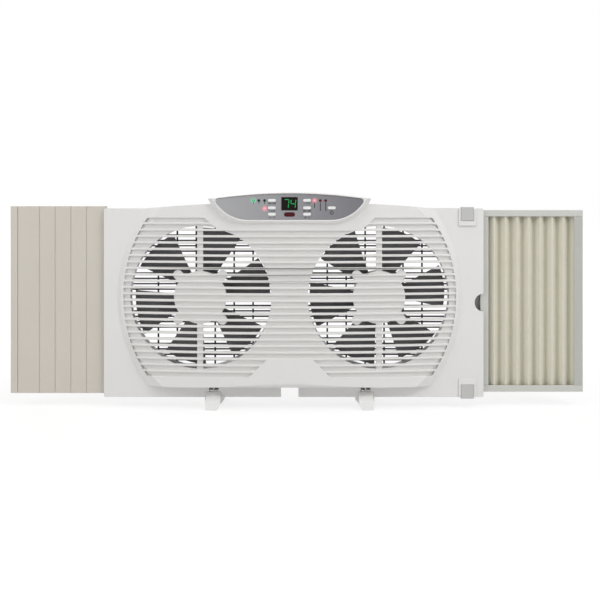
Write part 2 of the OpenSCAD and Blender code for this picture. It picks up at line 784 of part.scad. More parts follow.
module circuit_board() color([0.1, 0.35, 0.2]) place() difference() {
    block(-board_w / 2, board_w / 2, board_y, board_y + board_t, board_z, board_top);
    at_board_screws() rod(board_screw_r + 0.3, board_y - past, board_y + board_t + past, 32);
}

module board_screws() color([0.75, 0.75, 0.75]) place() at_board_screws() {
    rod(2.6, board_y - 1.8, board_y, 32);
    rod(board_screw_r, board_y - 1, board_y + board_screw_in, 32);
}

module button_switches() color([0.15, 0.15, 0.15]) place() for (p = button_places)
    block(p[0] - 3, p[0] + 3, board_y - switch_h, board_y, p[1] - 2.3, p[1] + 2.3);

module button(p) color([0.9, 0.9, 0.9]) place() {
    along_y(fascia_y - button_proud, fascia_back + 1) at_xz(p) button_outline(0);
    along_y(fascia_back + seat_gap, fascia_back + 1.2) at_xz(p) button_outline(0.9);
    translate([p[0], 0, p[1]]) rod(1.6, fascia_back + 1, board_y - switch_h - button_travel - 0.1, 32);
}

module button_left_top() button(button_places[0]);
module button_left_middle() button(button_places[1]);
module button_left_bottom() button(button_places[2]);
module button_right_top() button(button_places[3]);
module button_right_middle() button(button_places[4]);
module button_right_bottom() button(button_places[5]);
module power_button() button(button_places[6]);

// ---- Fans ----

module motor(s) translate([s * fan_pitch / 2, 0, 0]) difference() {
    union() {
        along_y(motor_front, motor_front + bracket_t) {
            circle(r = motor_r, $fn = 96);
            for (a = [45:90:315]) rotate(a) {
                translate([motor_screw_r, 0]) circle(r = 6, $fn = 48);
                translate([0, -6]) square([motor_screw_r, 12]);
            }
        }
        rod(motor_r, motor_front, motor_back - 6);
        rod(motor_r - 4, motor_front, motor_back);
        rod(bush_r + 3, motor_back - past, motor_back + 1.5, 48);
    }
    rod(bush_r, motor_front - past, motor_back + 1.5 + past, 48);
    for (a = [45:90:315]) translate([motor_screw_r * cos(a), 0, motor_screw_r * sin(a)])
        rod(screw_r + 0.4, motor_front - past, motor_front + bracket_t + past, 32);
}

module motor_left() color([0.55, 0.55, 0.57]) place() motor(-1);
module motor_right() color([0.55, 0.55, 0.57]) place() motor(1);

module motor_bushes(s) translate([s * fan_pitch / 2, 0, 0])
    for (y = [motor_front + 1, motor_back - 7]) difference() {
        rod(bush_r - shaft_gap, y, y + 7, 48);
        rod(shaft_r + shaft_gap, y - past, y + 7 + past, 48);
    }

module motor_bushes_left() color([0.72, 0.55, 0.3]) place() motor_bushes(-1);
module motor_bushes_right() color([0.72, 0.55, 0.3]) place() motor_bushes(1);

module motor_screws() color([0.75, 0.75, 0.75]) place() at_motor_screws() {
    rod(screw_head_r, motor_front + bracket_t, motor_front + bracket_t + screw_head_h, 32);
    rod(screw_r, motor_front - motor_screw_in, motor_front + bracket_t + 1, 32);
}

module housing_screws() color([0.75, 0.75, 0.75]) place() at_posts() {
    rod(screw_head_r, post_split + 12, post_split + 12 + screw_head_h, 32);
    rod(screw_r, post_split - housing_screw_in, post_split + 13, 32);
}

module motor_shaft(s) translate([s * fan_pitch / 2, 0, 0]) rod(shaft_r, motor_front + 0.5, shaft_back, 48);

module motor_shaft_left() color([0.8, 0.8, 0.8]) place() motor_shaft(-1);
module motor_shaft_right() color([0.8, 0.8, 0.8]) place() motor_shaft(1);

// A point of a blade: i steps out from the hub, j along the chord, side is 1 at the back and -1 in front
blade_steps = 6;
chord_steps = 8;
blade_root_r = hub_r - 1.2;
function blade_point(i, j, side) =
    let(f = i / blade_steps, s = j / chord_steps - 0.5, r = blade_root_r + (blade_d / 2 - blade_root_r) * f,
        angle = 360 / blade_count * blade_cover * (0.93 + 0.07 * f) * s,
        camber = blade_depth * 0.22 * (1 - 4 * s * s),
        half_t = blade_t / 2 * (1.25 - 0.25 * f) * (1 - 0.6 * pow(2 * s, 4)))
    [r * cos(angle), fan_y - blade_depth * s + camber - blade_depth * 0.1 + side * half_t, r * sin(angle)];

module blade() {
    ring = 2 * (chord_steps + 1);
    points = [for (i = [0:blade_steps]) each concat(
        [for (j = [0:chord_steps]) blade_point(i, j, 1)],
        [for (j = [chord_steps:-1:0]) blade_point(i, j, -1)])];
    sides = [for (i = [0:blade_steps - 1], k = [0:ring - 1])
        let(a = i * ring + k, b = i * ring + (k + 1) % ring)
        each [[a, b + ring, b], [a, a + ring, b + ring]]];
    caps = [for (j = [0:chord_steps - 1]) each [
        [j, ring - 2 - j, ring - 1 - j], [j, j + 1, ring - 2 - j],
        [for (k = [j, ring - 2 - j, j + 1]) blade_steps * ring + k],
        [for (k = [j, ring - 1 - j, ring - 2 - j]) blade_steps * ring + k]]];
    polyhedron(points, concat(sides, caps));
}

module impeller(s, phase) translate([s * fan_pitch / 2, 0, 0]) {
    difference() {
        rod(hub_r, hub_front, hub_back, 128);
        difference() {
            rod(hub_r - hub_wall, hub_front - past, hub_back - hub_wall, 128);
            rod(bush_r + 1, motor_back + 2.5, hub_back, 48);
        }
        rod(shaft_r + fit_gap, motor_back, hub_back + past, 48);
    }
    for (k = [0:blade_count - 1]) rotate([0, -phase - k * 360 / blade_count, 0]) blade();
}

module impeller_left() color([0.3, 0.3, 0.3]) place() impeller(-1, blade_phase[0]);
module impeller_right() color([0.3, 0.3, 0.3]) place() impeller(1, blade_phase[1]);

module impeller_nut(s) translate([s * fan_pitch / 2, 0, 0]) difference() {
    rod(6, hub_back, hub_back + nut_len, 6);
    rod(shaft_r + fit_gap, hub_back - past, hub_back + nut_len + past, 48);
}

module impeller_nut_left() color([0.75, 0.75, 0.75]) place() impeller_nut(-1);
module impeller_nut_right() color([0.75, 0.75, 0.75]) place() impeller_nut(1);

// ---- Side panel ----

module side_panel() color([0.79, 0.76, 0.72]) place() difference() {
    union() {
        block(panel_in, panel_right, panel_y, panel_y + panel_depth, panel_bottom, panel_top);
        block(panel_right - 1, panel_right + tongue_len, tongue_y[0], tongue_y[1], tongue_z[0], tongue_z[1]);
    }
    // Open back with two cross ribs
    for (z = [[panel_bottom, rib_z[0]], [rib_z[0], rib_z[1]], [rib_z[1], panel_top]])
        block(panel_in + panel_skin, panel_right - panel_skin,
            panel_y + panel_skin, panel_y + panel_depth + past,
            z[0] + panel_skin / 2 + (z[0] == panel_bottom ? panel_skin / 2 : 0),
            z[1] - panel_skin / 2 - (z[1] == panel_top ? panel_skin / 2 : 0));
    for (k = [0:groove_count - 1])
        translate([panel_right - first_groove - k * panel_slat, panel_y, panel_bottom - past])
            linear_extrude(panel_top - panel_bottom + 2 * past) polygon([
                [-groove_half_w, 0], [-groove_half_w, -past], [groove_half_w, -past], [groove_half_w, 0],
                [0, groove_depth]
            ]);
    // Slot that takes the end cap's tongue
    block(panel_in - past, panel_in + panel_skin + past,
        cap_tongue_y[0] - seat_gap, cap_tongue_y[1] + seat_gap,
        panel_bottom + cap_tongue_end - seat_gap, panel_top - cap_tongue_end + seat_gap);
}

module side_panel_end_cap() color([0.79, 0.76, 0.72]) place() {
    translate([panel_left, panel_y, panel_bottom]) linear_extrude(panel_top - panel_bottom) difference() {
        square([end_cap_w, panel_depth]);
        difference() {
            square(cap_edge_r);
            translate([cap_edge_r, cap_edge_r]) circle(r = cap_edge_r, $fn = 32);
        }
    }
    block(panel_left + end_cap_w - 1, panel_in + panel_skin, cap_tongue_y[0], cap_tongue_y[1],
        panel_bottom + cap_tongue_end, panel_top - cap_tongue_end);
}

// ---- Curtain ----

// A rail of the curtain frame: an extruded channel, closed at its outer end
module curtain_rail(top) difference() {
    z0 = top ? rail_top - rail_h : rail_bottom;
    along_x(rail_in, curtain_right) rounded_rect(frame_y, frame_back, z0, z0 + rail_h, rail_edge_r);
    block(rail_in - past, curtain_right - stile_w + stile_slot, frame_y + rail_wall, frame_back - rail_wall,
        top ? z0 - past : z0 + rail_floor, top ? z0 + rail_h - rail_floor : z0 + rail_h + past);
}

module curtain_top_rail() color([0.74, 0.74, 0.73]) place() curtain_rail(true);
module curtain_bottom_rail() color([0.74, 0.74, 0.73]) place() curtain_rail(false);

module curtain_end_stile() color([0.74, 0.74, 0.73]) place() difference() {
    translate([0, 0, rail_bottom + rail_h]) linear_extrude(rail_top - rail_bottom - 2 * rail_h)
        rounded_rect(curtain_right - stile_w, curtain_right, frame_y, frame_back, rail_edge_r);
    block(curtain_right - stile_w - past, curtain_right - stile_w + stile_slot,
        frame_y + rail_wall, frame_back - rail_wall, rail_bottom + rail_h - past, rail_top - rail_h + past);
}

module curtain_inner_strip() color([0.72, 0.72, 0.7]) place() {
    z0 = rail_bottom + rail_h + slide_gap;
    z1 = rail_top - rail_h - slide_gap;
    block(strip_x, strip_x + strip_w, frame_y + 1, frame_back, z0, z1);
    block(strip_x - strip_leg, strip_x + 1, frame_back - 2, pocket_back - seat_gap, z0, z1);
}

pleat_x0 = strip_x + strip_w + seat_gap;
pleat_x1 = curtain_right - stile_w + stile_slot - 2;
fold_points = 6;
function pleat_y(x, side) = frame_y + frame_depth / 2 + side * pleat_t / 2
    + (pleat_depth - pleat_t) / 2 * cos(180 * fold_count * (x - pleat_x0) / (pleat_x1 - pleat_x0));

module pleated_curtain() color([0.8, 0.78, 0.72]) place() {
    n = fold_count * fold_points;
    xs = [for (k = [0:n]) pleat_x0 + (pleat_x1 - pleat_x0) * k / n];
    translate([0, 0, rail_bottom + rail_h - sheet_in])
        linear_extrude(rail_top - rail_bottom - 2 * (rail_h - sheet_in))
        polygon(concat([for (x = xs) [x, pleat_y(x, -1)]], [for (k = [n:-1:0]) [xs[k], pleat_y(xs[k], 1)]]));
}

// ---- Clips and feet ----

// Section of a clip in Y and Z, with the flange's edge at 0: front plate, bridge over the edge and leg behind
module clip_profile() {
    y0 = -pad_t - clip_proud;
    leg_y = flange_t + seat_gap;
    difference() {
        rounded_rect(y0, leg_y + clip_leg_t, seat_gap + clip_t - clip_h, seat_gap + clip_t, clip_edge_r);
        translate([y0 + clip_t, -clip_h]) square([leg_y - y0 - clip_t, clip_h + seat_gap]);
        translate([y0 + clip_t, -clip_h]) square([leg_y - y0 + past, clip_h + seat_gap - clip_leg]);
    }
}

module clip_top() color([0.76, 0.76, 0.75]) place() along_x(clip_x - clip_w / 2, clip_x + clip_w / 2)
    translate([0, flange_top]) clip_profile();

module clip_bottom() color([0.76, 0.76, 0.75]) place() along_x(clip_x - clip_w / 2, clip_x + clip_w / 2)
    translate([0, -flange_bottom]) mirror([0, 1]) clip_profile();

module foot_profile() polygon([
    [-seat_gap, -flange_bottom + 9], [-foot_front, -flange_bottom - 3], [-foot_front, foot_bottom],
    [back_y, foot_bottom], [back_y, foot_bottom + 6], [rear_y - 10, foot_top],
    [flange_t + seat_gap, foot_top], [flange_t + seat_gap, -flange_bottom - seat_gap],
    [-seat_gap, -flange_bottom - seat_gap]
]);

// Sections of a foot seen from the front: s is the side where the middle of the fan lies
module foot_nose(s) polygon([
    [-s * foot_w / 2, -flange_bottom + 10], [s * foot_w / 2, -flange_bottom + 10],
    [s * foot_w / 2, foot_bottom + 9], [s * (foot_w / 2 - 6), foot_bottom],
    [-s * (foot_w / 2 - 1), foot_bottom], [-s * foot_w / 2, foot_bottom + 1.5]
]);

module foot_heel(s) polygon([
    [-s * (foot_w / 2 + 3), foot_top + past], [s * (foot_w / 2 + 5), foot_top + past],
    [s * (foot_w / 2 + 5), foot_bottom + 13], [s * (foot_w / 2 - 6), foot_bottom],
    [-s * (foot_w / 2 - 1), foot_bottom], [-s * (foot_w / 2 + 3), foot_bottom + 12]
]);

// Behind each hook hole the foot has a pocket, and its hook reaches forward along the hole's lower edge
module foot(s) translate([-s * foot_pitch / 2, 0, 0]) {
    hook_half = hook_hole / 2;
    hook_pocket = flange_t + 10;
    difference() {
        intersection() {
            along_x(-foot_w, foot_w) foot_profile();
            union() {
                along_y(-foot_front - past, flange_t + seat_gap) foot_nose(s);
                along_y(flange_t + seat_gap, back_y + past) foot_heel(s);
            }
        }
        for (t = [-1, 1]) block(t * hook_x - hook_half, t * hook_x + hook_half, flange_t, hook_pocket,
            hook_z - hook_half, hook_z + hook_half);
    }
    for (t = [-1, 1]) block(t * hook_x - hook_half + 0.5, t * hook_x + hook_half - 0.5, flange_t / 2,
        hook_pocket + past, hook_z - hook_half + seat_gap, hook_z - hook_half / 3);
}

module foot_left() color([0.84, 0.84, 0.82]) place() foot(1);
module foot_right() color([0.84, 0.84, 0.82]) place() foot(-1);

front_housing();
rear_housing();
rear_grille_left();
rear_grille_right();
control_fascia();
display_window();
display_module();
sensor_window();
indicator_lenses();
circuit_board();
button_switches();
board_screws();
housing_screws();
button_left_top();
button_left_middle();
button_left_bottom();
button_right_top();
button_right_middle();
button_right_bottom();
power_button();
motor_left();
motor_right();
motor_bushes_left();
motor_bushes_right();
motor_screws();
motor_shaft_left();
motor_shaft_right();
impeller_left();
impeller_right();
impeller_nut_left();
impeller_nut_right();
side_panel();
side_panel_end_cap();
curtain_top_rail();
curtain_bottom_rail();
curtain_end_stile();
curtain_inner_strip();
pleated_curtain();
clip_top();
clip_bottom();
foot_left();
foot_right();
cord_gland();
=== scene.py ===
"""Twin window fan: the visible model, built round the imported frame.

The frame gives every rigid piece. This script dresses those pieces, replaces the ones that want
smoother or softer forms (impellers, screws, indicator lenses, pleated curtain), prints the marks on
the control panel, and sets up the studio. Sizes are in millimetres unless a name says otherwise.
"""

from __future__ import annotations

import logging
import math
from contextlib import contextmanager
from dataclasses import dataclass, field
from enum import Enum
from typing import Any, Iterable, Iterator, Sequence

import bmesh
import bpy
from mathutils import Matrix, Vector


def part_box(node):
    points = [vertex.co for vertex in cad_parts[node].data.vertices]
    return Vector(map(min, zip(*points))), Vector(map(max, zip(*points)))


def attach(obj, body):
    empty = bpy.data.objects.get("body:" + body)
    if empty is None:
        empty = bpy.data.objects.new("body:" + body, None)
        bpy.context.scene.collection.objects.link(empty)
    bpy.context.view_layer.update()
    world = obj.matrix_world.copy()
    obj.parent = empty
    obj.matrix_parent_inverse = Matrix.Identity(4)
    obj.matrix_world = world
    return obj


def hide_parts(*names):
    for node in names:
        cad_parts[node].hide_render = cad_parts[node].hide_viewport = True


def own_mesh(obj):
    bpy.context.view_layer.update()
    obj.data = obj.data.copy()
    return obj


LOG = logging.getLogger("window_fan")
MM = 0.001
HOUSING = "housing"
SIDES = ("left", "right")
# The rows of small buttons
ROWS = ("top", "middle", "bottom")
# The curtain's rails run this far behind the flange's front
RAIL_SETBACK = 6.0
# Points nearer to each other than this, in metres, are one point
DOUBLE_M = 1e-7
# The colour sockets of a Mix node, which share their names with its other kinds of socket
MIX_SHARE, MIX_UNDER, MIX_OVER, MIX_RESULT = 0, 6, 7, 2
BLACK, WHITE = (0.0, 0.0, 0.0, 1.0), (1.0, 1.0, 1.0, 1.0)

Mesh, Piece, Material = bpy.types.Mesh, bpy.types.Object, bpy.types.Material
Tree, Socket = bpy.types.NodeTree, bpy.types.NodeSocket
Colour = tuple[float, float, float, float]
Faces = list[tuple[int, ...]]
Solid = tuple[list[Vector], Faces]

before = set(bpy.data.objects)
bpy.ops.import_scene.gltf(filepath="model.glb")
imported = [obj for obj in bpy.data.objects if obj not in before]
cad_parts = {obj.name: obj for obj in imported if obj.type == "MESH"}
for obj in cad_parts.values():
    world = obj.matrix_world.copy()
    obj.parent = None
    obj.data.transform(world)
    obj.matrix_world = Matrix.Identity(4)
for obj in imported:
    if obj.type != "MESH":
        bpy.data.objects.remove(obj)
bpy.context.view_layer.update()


# ---- shared helpers


def linear(hex_colour: str) -> Colour:
    """Turn an sRGB hex colour into linear RGBA.

    Args:
        hex_colour: six hex digits, such as "D9D9D6".

    Returns:
        Linear red, green and blue, and full opacity.
    """
    parts = [int(hex_colour[i : i + 2], 16) / 255 for i in (0, 2, 4)]
    flat = [c / 12.92 if c <= 0.04045 else ((c + 0.055) / 1.055) ** 2.4 for c in parts]
    return flat[0], flat[1], flat[2], 1.0


def shade(colour: Colour, gain: float, lift: float = 0.0) -> Colour:
    """Brighten or darken a linear colour.

    Args:
        colour: the linear colour.
        gain: what each part is multiplied by.
        lift: what is then added to each part.

    Returns:
        The new colour, at most white.
    """
    red, green, blue = (min(c * gain + lift, 1.0) for c in colour[:3])
    return red, green, blue, 1.0


def add_node(
    tree: Tree, kind: str, inputs: dict[Any, Any] | None = None, **settings: Any
) -> bpy.types.Node:
    """Add a node with its settings, socket values and links.

    Args:
        tree: the node tree that receives the node.
        kind: Blender's node type name.
        inputs: socket name or index to a value, or to the output socket that feeds it.
        **settings: attributes of the node itself.

    Returns:
        The new node.
    """
    node = tree.nodes.new(kind)
    for key, value in settings.items():
        setattr(node, key, value)
    for key, value in (inputs or {}).items():
        if isinstance(value, Socket):
            tree.links.new(value, node.inputs[key])
        else:
            node.inputs[key].default_value = value
    return node


def seen_directly(tree: Tree) -> Socket:
    """Tell the rays of the camera, of gloss and of clear pieces from the rays that light the fan.

    Args:
        tree: the node tree.

    Returns:
        A socket that is 1 where the white background shows.
    """
    rays = add_node(tree, "ShaderNodeLightPath").outputs
    seen = rays["Is Camera Ray"]
    for kind in ("Is Glossy Ray", "Is Transmission Ray"):
        either = add_node(tree, "ShaderNodeMath", {0: seen, 1: rays[kind]}, operation="MAXIMUM")
        seen = either.outputs[0]
    return seen


@dataclass(frozen=True)
class Datum:
    """The fan-centred datum: X midway between the fans, Y at the flange's front, Z at the axes."""

    origin: Vector

    @classmethod
    def from_frame(cls) -> "Datum":
        """Find the datum from the two motor shafts and the curtain's rail.

        Returns:
            The datum in the row frame.
        """
        left, right = (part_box(f"motor_shaft_{side}") for side in SIDES)
        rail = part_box("curtain_top_rail")
        x = (left[0][0] + right[1][0]) / 2
        z = (left[0][2] + left[1][2]) / 2
        return cls(Vector((x, rail[0][1] - RAIL_SETBACK * MM, z)))

    def at(self, x: float, y: float, z: float) -> Vector:
        """Turn millimetres right of, behind and above the datum into the row frame's metres."""
        return self.origin + Vector((x, y, z)) * MM

    def span(self, node: str, axis: int, inset: float = 0.0) -> tuple[float, float]:
        """Give a node's ends along an axis in the datum's millimetres, less an inset at each."""
        low, high = ((end[axis] - self.origin[axis]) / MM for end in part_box(node))
        return low + inset, high - inset

    def middle(self, node: str, axis: int) -> float:
        """Give a node's middle along an axis, in the datum's millimetres."""
        return sum(self.span(node, axis)) / 2


def new_object(name: str, data: bpy.types.ID) -> Piece:
    """Link a mesh, curve, lamp or camera to the scene as an object at the origin.

    Args:
        name: the object's name.
        data: what it shows; a mesh has its place in its vertices.

    Returns:
        The linked object.
    """
    obj = bpy.data.objects.new(name, data)
    bpy.context.scene.collection.objects.link(obj)
    return obj


@contextmanager
def editing(mesh: Mesh) -> Iterator[bmesh.types.BMesh]:
    """Open a mesh for editing, and write the edits back at the end.

    Args:
        mesh: the mesh.

    Yields:
        Its editable copy.
    """
    work = bmesh.new()
    work.from_mesh(mesh)
    yield work
    work.to_mesh(mesh)
    work.free()
    mesh.update()


def plain_mesh(carrier: Piece, *helpers: Piece) -> Mesh:
    """Keep an object's evaluated mesh, and remove the object with its modifiers and helpers.

    Args:
        carrier: the object whose modifier or curve makes the mesh.
        *helpers: other objects that it read.

    Returns:
        The plain mesh.
    """
    graph = bpy.context.evaluated_depsgraph_get()
    mesh = bpy.data.meshes.new_from_object(carrier.evaluated_get(graph))
    carrier.modifiers.clear()
    for obj in (carrier, *helpers):
        bpy.data.objects.remove(obj)
    return mesh


def mesh_from(name: str, points: Iterable[Sequence[float]], faces: Iterable[Sequence[int]]) -> Mesh:
    """Make a mesh whose faces all point outwards.

    Args:
        name: the mesh's name.
        points: vertex places.
        faces: vertex indices of each face.

    Returns:
        The mesh, with doubles merged and normals recalculated.
    """
    mesh = bpy.data.meshes.new(name)
    mesh.from_pydata([tuple(p) for p in points], [], [tuple(f) for f in faces])
    with editing(mesh) as work:
        bmesh.ops.remove_doubles(work, verts=work.verts, dist=DOUBLE_M)
        bmesh.ops.recalc_face_normals(work, faces=work.faces)
    return mesh


def smooth_by_angle(mesh: Mesh, degrees: float) -> None:
    """Shade a mesh smooth, with edges sharper than an angle kept crisp.

    Args:
        mesh: the mesh to shade.
        degrees: the least angle that stays sharp.
    """
    mesh.shade_smooth()
    mesh.set_sharp_from_angle(angle=math.radians(degrees))


def hoops(rows: int, count: int) -> Faces:
    """Join closed rows of points with faces of four corners.

    Args:
        rows: how many rows there are.
        count: how many points each row has.

    Returns:
        The faces between the rows.
    """
    faces: Faces = []
    for a in range(0, (rows - 1) * count, count):
        for k in range(count):
            n = (k + 1) % count
            faces.append((a + k, a + n, a + count + n, a + count + k))
    return faces


def lathe(profile: Sequence[tuple[float, float]], steps: int) -> Solid:
    """Turn a profile of radius and height about Z into a closed solid.

    Args:
        profile: (radius, height) pairs in millimetres; the ends meet, or lie on the axis.
        steps: points round the axis.

    Returns:
        Points in metres and faces of the turned solid.
    """
    points: list[Vector] = []
    for radius, height in profile:
        r, z = radius * MM, height * MM
        for k in range(steps):
            a = 2 * math.pi * k / steps
            points.append(Vector((r * math.cos(a), r * math.sin(a), z)))
    return points, hoops(len(profile), steps)


# ---- finishes


@dataclass(frozen=True)
class Look:
    """A named material that is made once, with its patterns on object coordinates."""

    name: str

    def build(self) -> Material:
        """Make the material, or return it if it was made before.

        Returns:
            The material.
        """
        material = bpy.data.materials.get(self.name)
        if not material:
            material = bpy.data.materials.new(self.name)
            material.use_nodes = True
            tree = material.node_tree
            tree.nodes.clear()
            place = add_node(tree, "ShaderNodeTexCoord").outputs["Object"]
            surface = self.surface(tree, place)
            add_node(tree, "ShaderNodeOutputMaterial", {"Surface": surface})
        return material

    def surface(self, tree: Tree, place: Socket) -> Socket:
        """Wire the surface, which each kind of look does in its own way."""
        raise NotImplementedError


@dataclass(frozen=True)
class Finish(Look):
    """A moulded, painted or metal surface: colour, sheen, grain and rounded edges.

    The grain is the fine texture of the tool or the paint, drawn a little coarser than the real
    one so that it shows. The rounding softens the sharp edges of the frame's solids in shading.
    """

    colour: str
    roughness: float
    ior: float = 1.5
    metallic: float = 0.0
    grain_mm: float = 1.2
    grain_lift_mm: float = 0.03
    mottle: float = 0.04
    mottle_mm: float = 70.0
    edge_mm: float = 0.5
    edge_wear: float = 0.1
    coat: float = 0.0
    # A painted shade ramp: the darker colour it runs to, the span it runs over, and its axis
    painted_shade_to: str = ""
    painted_shade_span: tuple[float, float] = (0.0, 0.0)
    painted_shade_axis: int = 0

    def surface(self, tree: Tree, place: Socket) -> Socket:
        """Wire the surface: its colour, and sheen and bump from one grain.

        Args:
            tree: the material's node tree.
            place: the object coordinates.

        Returns:
            The shader's socket.
        """
        swing, least = 0.06, 0.02
        colour = self.tint(tree, place)
        pattern = {"Vector": place, "Scale": 1 / (self.grain_mm * MM), "Detail": 3.0}
        grain = add_node(tree, "ShaderNodeTexNoise", pattern).outputs["Fac"]
        rounding = add_node(tree, "ShaderNodeBevel", {"Radius": self.edge_mm * MM}, samples=6)
        deep = self.grain_lift_mm * MM
        lift = {"Height": grain, "Normal": rounding.outputs[0], "Distance": deep}
        smooth, rough = max(self.roughness - swing, least), min(self.roughness + swing, 1.0)
        sheen = {"Value": grain, "To Min": smooth, "To Max": rough}
        shader = {
            "Base Color": colour,
            "Roughness": add_node(tree, "ShaderNodeMapRange", sheen).outputs[0],
            "Normal": add_node(tree, "ShaderNodeBump", lift).outputs[0],
            "IOR": self.ior,
            "Metallic": self.metallic,
            "Coat Weight": self.coat,
            "Coat Roughness": 0.2,
        }
        return add_node(tree, "ShaderNodeBsdfPrincipled", shader).outputs[0]

    def tint(self, tree: Tree, place: Socket) -> Socket:
        """Give the surface's colour: base, slow mottling, any painted shade ramp and burnished
        edges.

        Args:
            tree: the material's node tree.
            place: the object coordinates.

        Returns:
            The colour socket.
        """
        base = linear(self.colour)
        pattern = {"Vector": place, "Scale": 1 / (self.mottle_mm * MM), "Detail": 4.0}
        slow = add_node(tree, "ShaderNodeTexNoise", pattern)
        layers = [(slow.outputs["Fac"], shade(base, 1 + self.mottle))]
        # Painted shade: the colour ramps to a darker colour along one axis of the object
        if self.painted_shade_to:
            axes = add_node(tree, "ShaderNodeSeparateXYZ", {0: place})
            start, end = self.painted_shade_span
            fade = {"Value": axes.outputs[self.painted_shade_axis], "From Min": start, "From Max": end}
            ramp = add_node(tree, "ShaderNodeMapRange", fade)
            layers.append((ramp.outputs[0], linear(self.painted_shade_to)))
        if self.edge_wear:
            # An edge is where the rounded normal leans away from the face's own
            reach, sharpest, burnish, glint = 1.5, 0.8, 1.25, 0.02
            radius = self.edge_mm * reach * MM
            rounded = add_node(tree, "ShaderNodeBevel", {"Radius": radius}, samples=4).outputs[0]
            flat = add_node(tree, "ShaderNodeNewGeometry").outputs["Normal"]
            lean = {0: rounded, 1: flat}
            bend = add_node(tree, "ShaderNodeVectorMath", lean, operation="DOT_PRODUCT")
            wear = {"From Min": 1.0, "From Max": sharpest, "To Max": self.edge_wear}
            wear["Value"] = bend.outputs["Value"]
            worn = add_node(tree, "ShaderNodeMapRange", wear)
            layers.append((worn.outputs[0], shade(base, burnish, glint)))
        colour: Any = shade(base, 1 - self.mottle)
        for share, over in layers:
            inputs = {MIX_SHARE: share, MIX_UNDER: colour, MIX_OVER: over}
            colour = add_node(tree, "ShaderNodeMix", inputs, data_type="RGBA").outputs[MIX_RESULT]
        return colour


@dataclass(frozen=True)
class Lamp(Look):
    """A lit or unlit indicator: a smooth tinted lens that may glow from within."""

    colour: str
    glow: str
    strength: float
    grains_per_mm: float = 1.8
    grain_lift_mm: float = 0.02

    def surface(self, tree: Tree, place: Socket) -> Socket:
        """Wire the surface: tint, low gloss and glow.

        Args:
            tree: the material's node tree.
            place: the object coordinates.

        Returns:
            The shader's socket.
        """
        pattern = {"Vector": place, "Scale": self.grains_per_mm / MM, "Detail": 2.0}
        grain = add_node(tree, "ShaderNodeTexNoise", pattern).outputs["Fac"]
        lift = {"Height": grain, "Distance": self.grain_lift_mm * MM}
        shader = {
            "Base Color": linear(self.colour),
            "Roughness": 0.18,
            "IOR": 1.3,
            "Emission Color": linear(self.glow),
            "Emission Strength": self.strength,
            "Normal": add_node(tree, "ShaderNodeBump", lift).outputs[0],
        }
        return add_node(tree, "ShaderNodeBsdfPrincipled", shader).outputs[0]


@dataclass(frozen=True)
class Paper(Look):
    """The floor's paper: it looks white from afar, and keeps the fan's soft shadow near it."""

    colour: str
    glow: float
    fibres_per_mm: float = 0.3
    fibre_lift_mm: float = 0.1
    near_m: float = 0.5
    far_m: float = 0.95
    near_share: float = 0.74

    def surface(self, tree: Tree, place: Socket) -> Socket:
        """Wire the surface: matt fibres, and a plain white where it is seen directly.

        Args:
            tree: the material's node tree.
            place: the object coordinates.

        Returns:
            The shader's socket.
        """
        pattern = {"Vector": place, "Scale": self.fibres_per_mm / MM}
        fibre = add_node(tree, "ShaderNodeTexNoise", pattern).outputs["Fac"]
        lift = {"Height": fibre, "Distance": self.fibre_lift_mm * MM}
        normal = add_node(tree, "ShaderNodeBump", lift).outputs[0]
        matt = {"Color": linear(self.colour), "Normal": normal}
        paper = add_node(tree, "ShaderNodeBsdfDiffuse", matt)
        glow = add_node(tree, "ShaderNodeEmission", {"Color": WHITE, "Strength": self.glow})
        away = add_node(tree, "ShaderNodeVectorMath", {0: place}, operation="LENGTH")
        fade = {"From Min": self.near_m, "From Max": self.far_m, "To Min": self.near_share}
        fade["Value"] = away.outputs["Value"]
        clear = add_node(tree, "ShaderNodeMapRange", fade, interpolation_type="SMOOTHSTEP")
        parts = {0: seen_directly(tree), 1: clear.outputs[0]}
        share = add_node(tree, "ShaderNodeMath", parts, operation="MULTIPLY").outputs[0]
        both = {0: share, 1: paper.outputs[0], 2: glow.outputs[0]}
        return add_node(tree, "ShaderNodeMixShader", both).outputs[0]


